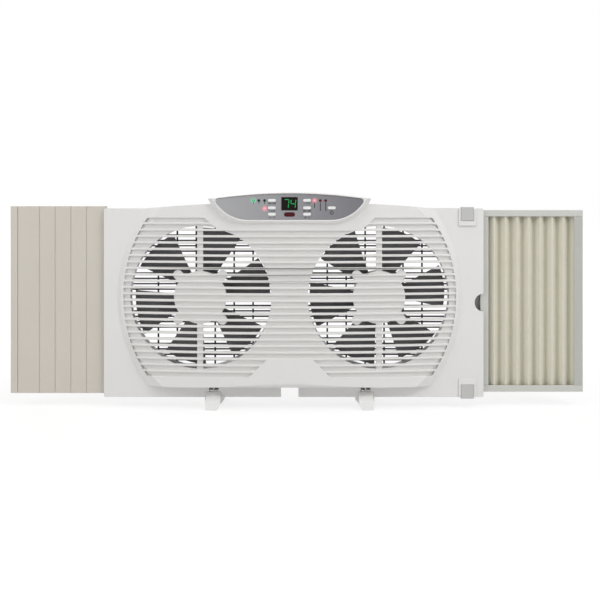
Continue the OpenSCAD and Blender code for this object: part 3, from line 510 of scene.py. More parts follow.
class Plastic:
    """The moulded, painted and printed finishes of this fan."""

    # Off-white ABS from a finely spark-eroded tool: an even satin with soft, wide highlights
    SHELL = Finish(
        "abs_off_white_satin", "DFDEDC", 0.4, ior=1.53, edge_mm=0.9, edge_wear=0.12, mottle=0.02
    )
    # The same ABS behind the flange, a shade duller because it never gets handled
    REAR = Finish("abs_rear_satin", "DADAD8", 0.5, ior=1.53, edge_mm=1.0, edge_wear=0.08)
    # Feet of satin ABS drawn whiter than the shell: painted light that lifts them out of the shade
    # under the raised front
    FOOT = Finish(
        "abs_white_satin", "EDEDEB", 0.4, ior=1.53, edge_mm=0.9, edge_wear=0.12, mottle=0.02
    )
    # Black polypropylene ribs: nearly matte, they only show as lines behind the blades
    RIB = Finish(
        "polypropylene_black", "262626", 0.55, ior=1.49, grain_mm=0.8, edge_mm=0.4, edge_wear=0.05
    )
    # Silver-grey paint on the panel plate, lighter at the left and darker at the right: a painted
    # reflection ramped along X
    PANEL = Finish(
        "paint_silver_grey", "A5A5A8", 0.36, grain_mm=0.5, grain_lift_mm=0.006, mottle=0.02,
        mottle_mm=0.9, edge_mm=0.3, edge_wear=0.05, coat=0.25, painted_shade_to="737378",
        painted_shade_span=(-0.13, 0.09),
    )
    # Buttons of brighter white ABS, polished a little by fingers
    BUTTON = Finish(
        "abs_button_white", "ECECEB", 0.32, ior=1.53, grain_mm=0.5, grain_lift_mm=0.01, edge_mm=0.5
    )
    # Warm grey ABS of the side panel: a fine even matte from an etched tool
    SIDE = Finish(
        "abs_warm_grey_matte", "CAC4BA", 0.56, ior=1.53, edge_mm=0.5, edge_wear=0.1, mottle=0.03
    )
    # Extruded PVC of the curtain frame: smooth, with a dull sheen
    RAIL = Finish(
        "pvc_light_grey", "C6C6C1", 0.4, ior=1.52, grain_mm=2.5, grain_lift_mm=0.015, edge_mm=0.6
    )
    # The same PVC in the end stile, drawn a darker grey than the rails
    STILE = Finish(
        "pvc_stile_grey", "B4B4AF", 0.46, ior=1.52, grain_mm=2.5, grain_lift_mm=0.015, edge_mm=0.6
    )
    # Thin vinyl sheet of the pleats: soft, matte and cream, with painted shade that darkens it deep
    # in the folds
    VINYL = Finish(
        "vinyl_pleat_sheet", "D7D3C3", 0.5, grain_mm=1.6, mottle_mm=18.0, edge_mm=0.2,
        edge_wear=0.0, painted_shade_to="B3B09D", painted_shade_span=(-0.0095, -0.0045), painted_shade_axis=1,
    )
    # Clips of a light grey ABS, darker than the shell, satin
    CLIP = Finish("abs_clip_satin", "BCBCBA", 0.4, ior=1.53, edge_mm=0.6)
    # Tinted acrylic over the display: almost black, with a coating that keeps reflections down
    SMOKED = Finish(
        "acrylic_smoked", "17110D", 0.12, ior=1.22, grain_mm=4.0, grain_lift_mm=0.004, mottle=0.1,
        edge_mm=0.2, edge_wear=0.0,
    )
    # Infra-red window: dark red acrylic, glossy
    SENSOR = Finish(
        "acrylic_dark_red", "4A0A11", 0.14, ior=1.28, grain_mm=2.0, grain_lift_mm=0.004,
        mottle=0.12, mottle_mm=4.0, edge_mm=0.4, edge_wear=0.0,
    )
    # Dark grey nylon impeller: gloss from the mould, a little dust grey over it
    BLADE = Finish(
        "nylon_dark_grey", "6C6C6D", 0.32, ior=1.53, grain_mm=1.5, edge_mm=0.6, mottle=0.08,
        mottle_mm=22.0,
    )
    # Black moulding of the display case and switches
    CASE = Finish("abs_black", "1C1C1D", 0.45, ior=1.53, grain_mm=0.7, edge_mm=0.3)
    # Glass-fibre board under green solder mask
    BOARD = Finish(
        "solder_mask_green", "1E5A36", 0.3, grain_mm=0.6, grain_lift_mm=0.01, edge_mm=0.2
    )
    # Flexible PVC gland, dull and slightly soft at the edges
    GLAND = Finish("pvc_gland_grey", "4A4A4A", 0.6, ior=1.52, grain_mm=0.9, edge_mm=0.5)
    # Dark screen ink of the panel's marks: flat and matte
    INK = Finish(
        "ink_dark_grey", "28282C", 0.6, ior=1.2, grain_mm=0.3, grain_lift_mm=0.002, mottle=0.05,
        mottle_mm=3.0, edge_mm=0.05, edge_wear=0.0,
    )


class Metal:
    """The metals inside the fan."""

    # Zinc-plated steel: bright grey with a fine cloudy crystal
    ZINC = Finish(
        "zinc_plated_steel", "BFC0C2", 0.28, metallic=1.0, grain_mm=0.9, grain_lift_mm=0.01,
        mottle=0.1, mottle_mm=3.0, edge_mm=0.2,
    )
    # Pressed motor can: rolled steel under a thin grey plating, with a soft satin
    CAN = Finish(
        "plated_motor_can", "8E8F92", 0.38, metallic=0.85, grain_mm=0.8, grain_lift_mm=0.01,
        edge_mm=0.6,
    )
    # Oil-filled sintered bronze: open pores, dull gold
    BRONZE = Finish(
        "sintered_bronze", "A57B45", 0.45, metallic=1.0, grain_mm=0.4, grain_lift_mm=0.02,
        edge_mm=0.2,
    )
    # Centreless-ground shaft steel: bright, with a very fine grain
    GROUND = Finish(
        "ground_steel", "D2D3D5", 0.18, metallic=1.0, grain_mm=0.3, grain_lift_mm=0.004,
        edge_mm=0.2,
    )


class Indicator(Enum):
    """The states of an indicator lens, and the display's segments."""

    # Diffused green lens, lit; a painted glow on the paint round it stands for its spilt light
    GREEN_LIT = Lamp("lens_green_lit", "2FA66A", "3CC98A", 0.6)
    # Diffused green lens, off: nearly black in the panel
    GREEN_OFF = Lamp("lens_green_off", "123024", "123024", 0.0)
    # Diffused red lens, lit: bright pink in the middle, red at the rim
    RED_LIT = Lamp("lens_red_lit", "F2848C", "FF7078", 2.2)
    # Diffused red lens, off: dark wine red
    RED_OFF = Lamp("lens_red_off", "5A1224", "5A1224", 0.0)
    # Segments of the display: clear green light without a lens of their own
    SEGMENT = Lamp("display_segment_green", "1A7F45", "25A85E", 0.6)


def both(name: str) -> list[str]:
    """Name the nodes of a pair.

    Args:
        name: what the two are called.

    Returns:
        The left node and the right node.
    """
    return [f"{name}_{side}" for side in SIDES]


CAD_FINISHES: dict[Finish, list[str]] = {
    Plastic.SHELL: ["front_housing"],
    Plastic.REAR: ["rear_housing"],
    Plastic.FOOT: both("foot"),
    Plastic.RIB: both("rear_grille"),
    Plastic.PANEL: ["control_fascia"],
    Plastic.BUTTON: [*(f"{b}_{row}" for b in both("button") for row in ROWS), "power_button"],
    Plastic.SMOKED: ["display_window"],
    Plastic.SENSOR: ["sensor_window"],
    Plastic.CASE: ["display_module", "button_switches"],
    Plastic.BOARD: ["circuit_board"],
    Plastic.SIDE: ["side_panel", "side_panel_end_cap"],
    Plastic.RAIL: ["curtain_top_rail", "curtain_bottom_rail", "curtain_inner_strip"],
    Plastic.STILE: ["curtain_end_stile"],
    Plastic.CLIP: ["clip_top", "clip_bottom"],
    Plastic.GLAND: ["cord_gland"],
    Metal.CAN: both("motor"),
    Metal.BRONZE: both("motor_bushes"),
    Metal.GROUND: both("motor_shaft"),
    Metal.ZINC: both("impeller_nut"),
}


def dress_frame() -> None:
    """Give every rigid piece of the frame its finish through its material slots."""
    for finish, names in CAD_FINISHES.items():
        material = finish.build()
        for name in names:
            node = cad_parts[name]
            if not node.material_slots:
                node.data.materials.append(material)
            for slot in node.material_slots:
                slot.material = material
            LOG.info("%s: %s", name, finish.name)


# ---- repeating pieces


class Pattern(Enum):
    """How a repeated shape is laid out by its Geometry Nodes tree."""

    RING = "ring"
    POINTS = "points"


@dataclass
class Repeat:
    """A Geometry Nodes tree that lays copies of one shape out in a ring or on points."""

    pattern: Pattern
    tree: Tree = field(init=False)
    sockets: dict[str, str] = field(default_factory=dict)

    def __post_init__(self) -> None:
        """Build the tree with its named inputs."""
        self.tree = bpy.data.node_groups.new(f"repeat_{self.pattern.value}", "GeometryNodeTree")
        face = self.tree.interface
        wanted = {
            "Geometry": "Geometry", "Shape": "Object", "Finish": "Material",
            "Merge Distance": "Float",
        }
        if self.pattern is Pattern.RING:
            wanted |= {"Count": "Int", "Start": "Vector", "Step": "Vector"}
        for name, kind in wanted.items():
            kind = f"NodeSocket{kind}"
            socket = face.new_socket(name=name, in_out="INPUT", socket_type=kind)
            self.sockets[name] = socket.identifier
        face.new_socket(name="Geometry", in_out="OUTPUT", socket_type="NodeSocketGeometry")
        self._wire()

    def _wire(self) -> None:
        """Wire the tree: points, copies on them, real geometry, merged seams and the finish."""
        tree = self.tree
        given = add_node(tree, "NodeGroupInput").outputs
        shape = add_node(tree, "GeometryNodeObjectInfo", {"Object": given["Shape"]})
        if self.pattern is Pattern.POINTS:
            points = given["Geometry"]
            turn = add_node(
                tree, "GeometryNodeInputNamedAttribute", {"Name": "turn"}, data_type="FLOAT_VECTOR"
            ).outputs["Attribute"]
        else:
            line = {"Count": given["Count"], "Offset": (0.0, 0.0, 0.0)}
            points = add_node(tree, "GeometryNodeMeshLine", line).outputs[0]
            index = add_node(tree, "GeometryNodeInputIndex").outputs[0]
            steps = {0: given["Step"], "Scale": index}
            walk = add_node(tree, "ShaderNodeVectorMath", steps, operation="SCALE").outputs[0]
            total = {0: walk, 1: given["Start"]}
            turn = add_node(tree, "ShaderNodeVectorMath", total, operation="ADD").outputs[0]
        copies = {"Points": points, "Instance": shape.outputs["Geometry"], "Rotation": turn}
        result = add_node(tree, "GeometryNodeInstanceOnPoints", copies).outputs[0]
        for kind, inputs in (
            ("GeometryNodeRealizeInstances", {}),
            ("GeometryNodeMergeByDistance", {"Distance": given["Merge Distance"]}),
            ("GeometryNodeSetMaterial", {"Material": given["Finish"]}),
        ):
            result = add_node(tree, kind, {"Geometry": result, **inputs}).outputs[0]
        add_node(tree, "NodeGroupOutput", {0: result})

    def lay_out(
        self,
        name: str,
        shape: Mesh,
        finish: Material,
        values: dict[str, Any] | None = None,
        points: Sequence[tuple[Vector, Vector]] = (),
    ) -> Mesh:
        """Run the tree once and return its result as a plain mesh.

        Args:
            name: name of the resulting mesh.
            shape: the shape to repeat, drawn about its own origin.
            finish: the material of the result.
            values: the tree's other inputs, by name.
            points: for a POINTS pattern, each copy's place and turn.

        Returns:
            The mesh with all copies in it.
        """
        seats = bpy.data.meshes.new("seats")
        seats.from_pydata([tuple(p) for p, _ in points] or [(0, 0, 0)], [], [])
        if points:
            turns = seats.attributes.new("turn", "FLOAT_VECTOR", "POINT")
            for row, (_, turn) in zip(turns.data, points):
                row.vector = turn
        carrier, stamp = new_object("carrier", seats), new_object("stamp", shape)
        modifier = carrier.modifiers.new("repeat", "NODES")
        modifier.node_group = self.tree
        settings = {"Shape": stamp, "Finish": finish, "Merge Distance": 0.0, **(values or {})}
        for key, value in settings.items():
            modifier[self.sockets[key]] = value
        mesh = plain_mesh(carrier, stamp)
        mesh.name = name
        return mesh


# ---- fans


@dataclass
class Impeller:
    """One six-bladed impeller with its cup-shaped hub."""

    datum: Datum
    ring: Repeat
    side: str
    phase: float
    blades: int = 6
    cover: float = 0.63
    root_r: float = 39.8
    hub_r: float = 41.0
    hub_wall: float = 2.6
    hub_corner: float = 1.2
    hub_lip: float = 0.4
    hub_steps: int = 96
    boss_r: float = 8.0
    boss_front: float = 23.5
    bore_r: float = 3.02
    depth: float = 24.0
    blades_behind: float = 15.0
    thickness: float = 2.0
    span_steps: int = 20
    chord_steps: int = 24
    axis_x: float = field(init=False)
    tip_r: float = field(init=False)
    hub_span: tuple[float, float] = field(init=False)

    def __post_init__(self) -> None:
        """Take the axis, the tips and the hub's length from the frame's own impeller."""
        self.axis_x = self.datum.middle(f"motor_shaft_{self.side}", 0)
        low, high = self.datum.span("impeller_left", 0)
        self.tip_r = round((high - low) / 2, 1)
        self.hub_span = self.datum.span(f"impeller_{self.side}", 1)

    def blade_point(self, f: float, s: float, face: int) -> Vector:
        """Give a point of a blade, which narrows in chord and thins towards its root and edges.

        Args:
            f: share of the way from the root to the tip.
            s: place along the chord, from -0.5 to 0.5.
            face: 1 for the back face and -1 for the front face.

        Returns:
            The point, in millimetres from the impeller's axis at the flange's front.
        """
        # Chord at the root and its gain, thickness at the root and its loss, thinning of the edges
        chord, gain, thick, loss, thin = 0.93, 0.07, 1.25, 0.25, 0.6
        # Shares of the depth by which the blade bows back and is set forward
        bow, forward = 0.22, 0.1
        radius = self.root_r + (self.tip_r - self.root_r) * f
        angle = math.radians(360 / self.blades * self.cover * (chord + gain * f) * s)
        camber = self.depth * bow * (1 - 4 * s * s)
        half = self.thickness / 2 * (thick - loss * f) * (1 - thin * (2 * s) ** 4)
        mid_y = self.hub_span[0] + self.blades_behind
        y = mid_y - self.depth * s + camber - self.depth * forward + face * half
        return Vector((radius * math.cos(angle), y, radius * math.sin(angle)))

    def blade(self) -> Mesh:
        """Draw one blade as a closed, cambered and twisted shell.

        Returns:
            The blade's mesh, in metres about the axis.
        """
        chord = [j / self.chord_steps - 0.5 for j in range(self.chord_steps + 1)]
        loop = [(s, 1) for s in chord] + [(s, -1) for s in reversed(chord)]
        rows, count = self.span_steps + 1, len(loop)
        points: list[Vector] = []
        for i in range(rows):
            points += [self.blade_point(i / self.span_steps, s, face) * MM for s, face in loop]
        faces = hoops(rows, count)
        for base in (0, self.span_steps * count):
            for j in range(self.chord_steps):
                far = base + count - 1 - j
                faces.append((base + j, base + j + 1, far - 1, far))
        return mesh_from("blade", points, faces)

    def hub(self) -> Mesh:
        """Turn the cup-shaped hub with its bored boss.

        Returns:
            The hub's mesh, in metres about the axis.
        """
        front, back = self.hub_span
        r, e, lip = self.hub_r, self.hub_corner, self.hub_lip
        # Inner fillet, chamfer of the boss, and how far in a corner's middle point lies
        fillet, chamfer, bend = 2.0, 1.5, 0.3
        # Inside of the cup, and front of its floor
        inner, floor = r - self.hub_wall, back - self.hub_wall
        profile = [
            (self.bore_r, back), (r - e, back), (r - e * bend, back - e * bend), (r, back - e),
            (r, front + lip), (r - lip, front), (inner + lip, front), (inner, front + lip),
            (inner, floor - fillet), (inner - fillet * bend, floor - fillet * bend),
            (inner - fillet, floor), (self.boss_r + chamfer, floor),
            (self.boss_r, floor - chamfer), (self.boss_r, self.boss_front),
            (self.bore_r, self.boss_front), (self.bore_r, back),
        ]
        points, faces = lathe(profile, self.hub_steps)
        return mesh_from("hub", [Vector((p.x, p.z, -p.y)) for p in points], faces)

    def build(self) -> None:
        """Build the impeller and let it turn with its rotor."""
        name = self.side
        values = {
            "Count": self.blades,
            "Start": Vector((0.0, -math.radians(self.phase), 0.0)),
            "Step": Vector((0.0, -2 * math.pi / self.blades, 0.0)),
        }
        finish = Plastic.BLADE.build()
        mesh = self.ring.lay_out(f"impeller_{name}_moulding", self.blade(), finish, values)
        hub = self.hub()
        with editing(mesh) as work:
            work.from_mesh(hub)
            bmesh.ops.translate(work, verts=work.verts, vec=self.datum.at(self.axis_x, 0, 0))
        bpy.data.meshes.remove(hub)
        smooth_by_angle(mesh, degrees=40)
        piece = new_object(f"impeller_{name}_moulding", mesh)
        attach(piece, f"rotor_{name}")
        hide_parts(f"impeller_{name}")
        LOG.info("%s: %d faces", piece.name, len(mesh.polygons))


# ---- screws


@dataclass(frozen=True)
class PanHead:
    """The sizes of a pan-head screw with a cross recess."""

    head_r: float
    head_h: float
    shank_r: float
    threads: int = 10
    steps: int = 24

    def draw(self, length: float) -> Mesh:
        """Draw one screw along +Z: its head's top at the origin, its shank behind it.

        Args:
            length: from under the head to the tip.

        Returns:
            The screw's mesh, in metres.
        """
        h, r, s = self.head_h, self.head_r, self.shank_r
        # Lengths without thread under the head and at the tip, length of the point, and the core
        # and the point as shares of the shank
        plain, tip, point, core, blunt = 1.0, 1.5, 0.8, 0.84, 0.4
        profile = [(0.0, 0.0), (r * 0.55, 0.0), (r * 0.85, h * 0.2), (r, h * 0.6), (r, h), (s, h)]
        for k in range(self.threads * 2):
            z = h + plain + (length - plain - tip) * k / (self.threads * 2)
            profile.append((s * (1.0 if k % 2 else core), z))
        profile += [(s * blunt, h + length - point), (0.0, h + length)]
        blank = new_object("blank", mesh_from("screw", *lathe(profile, self.steps)))
        arm, half, deep = (2 * size * MM for size in (r * 0.62, r * 0.13, h * 0.55))
        tool = bpy.data.meshes.new("cross")
        with editing(tool) as work:
            for wide, tall in ((arm, half), (half, arm)):
                box = Matrix.Diagonal((wide, tall, deep, 1.0))
                bmesh.ops.create_cube(work, size=1.0, matrix=box)
        cutter = new_object("cutter", tool)
        cut = blank.modifiers.new("cross", "BOOLEAN")
        cut.operation, cut.object, cut.solver, cut.use_self = "DIFFERENCE", cutter, "EXACT", True
        return plain_mesh(blank, cutter)


@dataclass
class CrossScrews:
    """Screws of one size, laid out by Geometry Nodes where the frame has its plain ones."""

    datum: Datum
    layout: Repeat
    name: str
    replaces: str
    screw: PanHead
    spots: list[tuple[float, float]]
    faces_back: bool = True

    def build(self) -> None:
        """Lay the screws out and seat them, each turned a little further than the last."""
        front, back = self.datum.span(self.replaces, 1)
        top, tilt = (back, math.pi / 2) if self.faces_back else (front, -math.pi / 2)
        twist = 0.35
        points = [
            (self.datum.at(x, top, z), Vector((tilt, twist * k, 0.0)))
            for k, (x, z) in enumerate(self.spots)
        ]
        one = self.screw.draw(back - front - self.screw.head_h)
        mesh = self.layout.lay_out(self.name, one, Metal.ZINC.build(), points=points)
        smooth_by_angle(mesh, degrees=30)
        piece = new_object(self.name, mesh)
        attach(piece, HOUSING)
        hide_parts(self.replaces)
        LOG.info("%s: %d screws", piece.name, len(self.spots))


def screw_sets(datum: Datum, layout: Repeat) -> list[CrossScrews]:
    """Find the screws: four round each motor's shaft, six on the rear housing, four on the board.

    Args:
        datum: the fan-centred datum.
        layout: the tree that lays copies out on points.

    Returns:
        The sets of screws.
    """
    large, small = PanHead(3.3, 2.2, 1.5), PanHead(2.6, 1.8, 1.2)
    reach = datum.span("motor_screws", 2, large.head_r)[1]
    corners = ((1, 1), (-1, 1), (-1, -1), (1, -1))
    shafts = [datum.middle(node, 0) for node in both("motor_shaft")]
    motor = [(x + sx * reach, sz * reach) for x in shafts for sx, sz in corners]
    # The screw at the upper right clears the curtain's rail, and one holds the upper middle
    below_rail, middle_z = 10.0, 96.0
    (left, right), (low, high) = (datum.span("housing_screws", a, large.head_r) for a in (0, 2))
    right_high = datum.span("curtain_top_rail", 2)[0] - below_rail
    housing = [
        (left, low), (right, low), (left, high), (right, right_high), (0.0, low), (0.0, middle_z)
    ]
    xs, zs = (datum.span("board_screws", a, small.head_r) for a in (0, 2))
    board = [(x, z) for x in xs for z in zs]
    return [
        CrossScrews(datum, layout, "motor_screw_set", "motor_screws", large, motor),
        CrossScrews(datum, layout, "housing_screw_set", "housing_screws", large, housing),
        CrossScrews(datum, layout, "board_screw_set", "board_screws", small, board, False),
    ]


# ---- control panel


@dataclass
class ControlPanel:
    """What shows on the panel plate: lenses, digits and printed marks."""

    datum: Datum
    layout: Repeat
    ink: float = 0.05
    boldness: float = 0.16
    dome: float = 1.1
    lens_x: tuple[float, ...] = (-59.2, -50.2, -40.9, 41.0, 50.5, 59.4)
    low_lens_x: float = -40.7
    scale_lines: tuple[float, ...] = (2.2, 2.2, 2.2, 9.0, 14.0, 14.5)
    lens_r: float = field(init=False)
    plate_y: float = field(init=False)
    window_y: float = field(init=False)
    lens_z: tuple[float, float] = field(init=False)

    def __post_init__(self) -> None:
        """Take the plate, the window and the lenses' radius and heights from the frame."""
        self.plate_y = self.datum.span("control_fascia", 1)[0]
        self.window_y = self.datum.span("display_window", 1)[0]
        self.lens_r = self.datum.span("indicator_lenses", 0)[1] - self.lens_x[-1]
        self.lens_z = self.datum.span("indicator_lenses", 2, self.lens_r)

    def lens(self) -> Mesh:
        """Draw one domed lens that faces the front.

        Returns:
            The lens, in metres about its own axis.
        """
        r, root, steps = self.lens_r, 3.0, 32
        dome = [(0.0, -self.dome), (r * 0.4, -1.0), (r * 0.75, -0.7), (r, -0.2)]
        points, faces = lathe([*dome, (r, root), (0.0, root)], steps)
        return mesh_from("lens", [Vector((p.x, p.z, p.y)) for p in points], faces)

    def lenses(self, name: str, state: Indicator, spots: Sequence[tuple[float, float]]) -> None:
        """Place lenses of one state.

        Args:
            name: the piece's name.
            state: lit or unlit, and its colour.
            spots: their X and Z.
        """
        points = [(self.datum.at(x, self.plate_y, z), Vector((0, 0, 0))) for x, z in spots]
        mesh = self.layout.lay_out(name, self.lens(), state.value.build(), points=points)
        smooth_by_angle(mesh, degrees=50)
        piece = new_object(name, mesh)
        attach(piece, HOUSING)
        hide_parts("indicator_lenses")
        LOG.info("%s: %d lenses", name, len(spots))

    def slab(self, outline: Sequence[tuple[float, float]], y: float, lift: float) -> Solid:
        """Raise a thin slab from an outline in X and Z.

        Args:
            outline: corners in order.
            y: the surface it lies on.
            lift: its thickness towards the front.

        Returns:
            Points in the row frame, and faces.
        """
        count = len(outline)
        points = [self.datum.at(x, yy, z) for yy in (y, y - lift) for x, z in outline]
        lids: Faces = [tuple(range(count)), tuple(range(2 * count - 1, count - 1, -1))]
        return points, lids + hoops(2, count)

    def merge(self, name: str, slabs: Sequence[Solid], material: Material) -> None:
        """Join slabs into one piece that rides on the housing.

        Args:
            name: the piece's name.
            slabs: points and faces of each slab.
            material: their material.
        """
        points: list[Vector] = []
        faces: Faces = []
        for slab_points, slab_faces in slabs:
            faces += [tuple(i + len(points) for i in f) for f in slab_faces]
            points += slab_points
        mesh = mesh_from(name, points, faces)
        mesh.materials.append(material)
        piece = new_object(name, mesh)
        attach(piece, HOUSING)
        LOG.info("%s: %d slabs", name, len(slabs))

    def digits(self) -> None:
        """Light the two digits of the display, with slanted seven-segment bars."""
        wide, tall, bar, slant = 7.6, 14.0, 1.1, 0.09
        apart, lift = 0.35, 0.08
        middle = self.datum.middle("display_window", 2)
        segments = {
            "top": ((-0.5, 0.5), (0.5, 0.5)), "middle": ((-0.5, 0.0), (0.5, 0.0)),
            "upper_left": ((-0.5, 0.0), (-0.5, 0.5)), "upper_right": ((0.5, 0.0), (0.5, 0.5)),
            "lower_right": ((0.5, -0.5), (0.5, 0.0)),
        }
        seven = ("top", "upper_right", "lower_right")
        four = ("upper_left", "upper_right", "middle", "lower_right")
        slabs = []
        for centre, parts in ((-5.2, seven), (6.0, four)):
            for part in parts:
                (ax, az), (bx, bz) = segments[part]
                a = Vector((centre + ax * wide, az * tall))
                b = Vector((centre + bx * wide, bz * tall))
                along = (b - a).normalized()
                across = Vector((-along.y, along.x)) * bar / 2
                a, b = a + along * apart, b - along * apart
                near, far = a + along * bar / 2, b - along * bar / 2
                ring = [a, near + across, far + across, b, far - across, near - across]
                outline = [(p.x + slant * p.y, middle + p.y) for p in ring]
                slabs.append(self.slab(outline, self.window_y, lift))
        self.merge("display_digits", slabs, Indicator.SEGMENT.value.build())

    def power_mark(self) -> list[Solid]:
        """Draw the power sign below its button.

        Returns:
            Slabs of the open ring and its stroke.
        """
        r, w, steps, gap, below = 3.1, 1.1, 28, 38.0, 1.6
        cx = self.datum.middle("power_button", 0)
        cz = self.datum.span("power_button", 2)[0] - r - below
        slabs = []
        for k in range(steps):
            a0, a1 = (math.radians(90 + gap + (360 - 2 * gap) * q / steps) for q in (k, k + 1))
            corners = ((r, a0), (r, a1), (r - w, a1), (r - w, a0))
            outline = [(cx + rr * math.cos(a), cz + rr * math.sin(a)) for rr, a in corners]
            slabs.append(self.slab(outline, self.plate_y, self.ink))
        slabs.append(self.bar(cx, cz + r * 0.7, w, r))
        return slabs

    def bar(self, x: float, z: float, wide: float, tall: float) -> Solid:
        """Print a straight bar.

        Args:
            x: its centre.
            z: its centre.
            wide: its width.
            tall: its height.

        Returns:
            The bar's slab.
        """
        w, t = wide / 2, tall / 2
        corners = [(x - w, z - t), (x + w, z - t), (x + w, z + t), (x - w, z + t)]
        return self.slab(corners, self.plate_y, self.ink)

    def shine(
        self,
        material: Material,
        spots: Sequence[tuple[Indicator, float, float]],
        reach: tuple[float, float],
        level: float,
        rim: Colour,
        lift: float = 0.0,
    ) -> bpy.types.Node:
        """Grade a material's emission outwards from the middles of lit lenses.

        Args:
            material: the material that glows.
            spots: each lit lens's state, X and Z.
            reach: where the light starts to fall and where it ends, in lens radii.
            level: share of the lens's own glow inside.
            rim: the linear colour outside.
            lift: how far in front of the plate the middles lie.

        Returns:
            The material's shader node.
        """
        tree = material.node_tree
        shader = next(n for n in tree.nodes if n.type == "BSDF_PRINCIPLED")
        place = add_node(tree, "ShaderNodeTexCoord").outputs["Object"]
        near, far = (r * self.lens_r * MM for r in reach)
        shown: Any = rim
        for state, x, z in spots:
            ends = {0: place, 1: tuple(self.datum.at(x, self.plate_y - lift, z))}
            away = add_node(tree, "ShaderNodeVectorMath", ends, operation="DISTANCE")
            span = {"From Min": near, "From Max": far, "To Min": level, "To Max": 0.0}
            fall = {"Value": away.outputs["Value"], **span}
            share = add_node(tree, "ShaderNodeMapRange", fall, interpolation_type="SMOOTHSTEP")
            glow = linear(state.value.glow)
            inputs = {MIX_SHARE: share.outputs[0], MIX_UNDER: shown, MIX_OVER: glow}
            shown = add_node(tree, "ShaderNodeMix", inputs, data_type="RGBA").outputs[MIX_RESULT]
        tree.links.new(shown, shader.inputs["Emission Color"])
        return shader

    def painted_glow(self, spots: Sequence[tuple[Indicator, float, float]]) -> None:
        """Light the lit lenses from their middles; the panel paint round them gets a painted glow.

        Args:
            spots: each lit lens's state, X and Z.
        """
        painted_glow_reach, in_lens = (0.9, 2.8), (0.2, 1.0)
        painted_glow_level, dim = 0.42, 0.22
        # The panel paint round each lit lens glows: painted light where the lens would spill it
        paint = self.shine(Plastic.PANEL.build(), spots, painted_glow_reach, painted_glow_level, BLACK)
        paint.inputs["Emission Strength"].default_value = 1.0
        for state in (Indicator.GREEN_LIT, Indicator.RED_LIT):
            own = [spot for spot in spots if spot[0] is state]
            rim = shade(linear(state.value.glow), dim)
            self.shine(state.value.build(), own, in_lens, 1.0, rim, self.dome)

    def marks(self) -> None:
        """Print the scale lines, the signs for less and more, and the power sign."""
        # Line widths, sizes of the signs, and how far these stand left and right of the middle
        line, thin, sign, half, left_by, right_by = 1.2, 0.8, 3.0, 1.15, 3.0, 3.6
        below_lens, below_button = self.lens_r + 0.8, 2.4
        slabs = self.power_mark()
        for x, tall in zip(self.lens_x, self.scale_lines):
            slabs.append(self.bar(x, self.lens_z[1] - below_lens - tall / 2, line, tall))
        for side, up in zip(SIDES, (-1, 1)):
            node = f"button_{side}_bottom"
            x, z = self.datum.middle(node, 0), self.datum.span(node, 2)[0] - below_button
            tip_x, foot = x + right_by, z - up * half
            corners = [(tip_x - half, foot), (tip_x + half, foot), (tip_x, z + up * half)]
            slabs.append(self.slab(corners, self.plate_y, self.ink))
            slabs.append(self.bar(x - left_by, z, sign, thin))
            if up > 0:
                slabs.append(self.bar(x - left_by, z, thin, sign))
        self.merge("panel_marks", slabs, Plastic.INK.build())

    def word(self, text: str, x: float, z: float, tall: float) -> Mesh:
        """Set plain numbers or ON and OFF for the print.

        Args:
            text: what it says.
            x: its centre.
            z: its baseline.
            tall: height of the capitals.

        Returns:
            The print's mesh in the row frame.
        """
        capitals = 0.7
        curve = bpy.data.curves.new("word", "FONT")
        curve.body = text
        curve.align_x = "CENTER"
        curve.size = tall * MM / capitals
        curve.extrude = self.ink * MM / 2
        curve.offset = self.boldness * MM
        mesh = plain_mesh(new_object("word", curve))
        mesh.transform(Matrix.Rotation(math.pi / 2, 4, "X"))
        mesh.transform(Matrix.Translation(self.datum.at(x, self.plate_y - self.ink / 2, z)))
        return mesh

    def labels(self) -> None:
        """Print plain numbers, or ON and OFF, under the upper four of the six small buttons."""
        tall, gap = 2.3, 0.8
        texts = {
            "button_left_top": "ON  OFF", "button_left_middle": "1 2 4 8",
            "button_right_top": "1  2  3", "button_right_middle": "ON  OFF",
        }
        mesh = bpy.data.meshes.new("panel_labels")
        with editing(mesh) as work:
            for node, text in texts.items():
                z = self.datum.span(node, 2)[0] - gap - tall
                part = self.word(text, self.datum.middle(node, 0), z, tall)
                work.from_mesh(part)
                bpy.data.meshes.remove(part)
        mesh.materials.append(Plastic.INK.build())
        piece = new_object("panel_labels", mesh)
        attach(piece, HOUSING)
        LOG.info("panel_labels: %d words", len(texts))

    def build(self) -> None:
        """Build everything on the panel."""
        low, top = self.lens_z
        x = self.lens_x
        sets = {
            Indicator.GREEN_LIT: ("lens_green_on", [(x[0], top)]),
            Indicator.GREEN_OFF: ("lenses_green_off", [(x[1], top), (x[2], top)]),
            Indicator.RED_LIT: ("lenses_red_on", [(x[3], top), (self.low_lens_x, low)]),
            Indicator.RED_OFF: ("lenses_red_off", [(x[4], top), (x[5], top)]),
        }
        lit = (Indicator.GREEN_LIT, Indicator.RED_LIT)
        self.painted_glow([(state, *spot) for state in lit for spot in sets[state][1]])
        for state, (name, spots) in sets.items():
            self.lenses(name, state, spots)
        self.digits()
        self.marks()
        self.labels()


# ---- pleated curtain


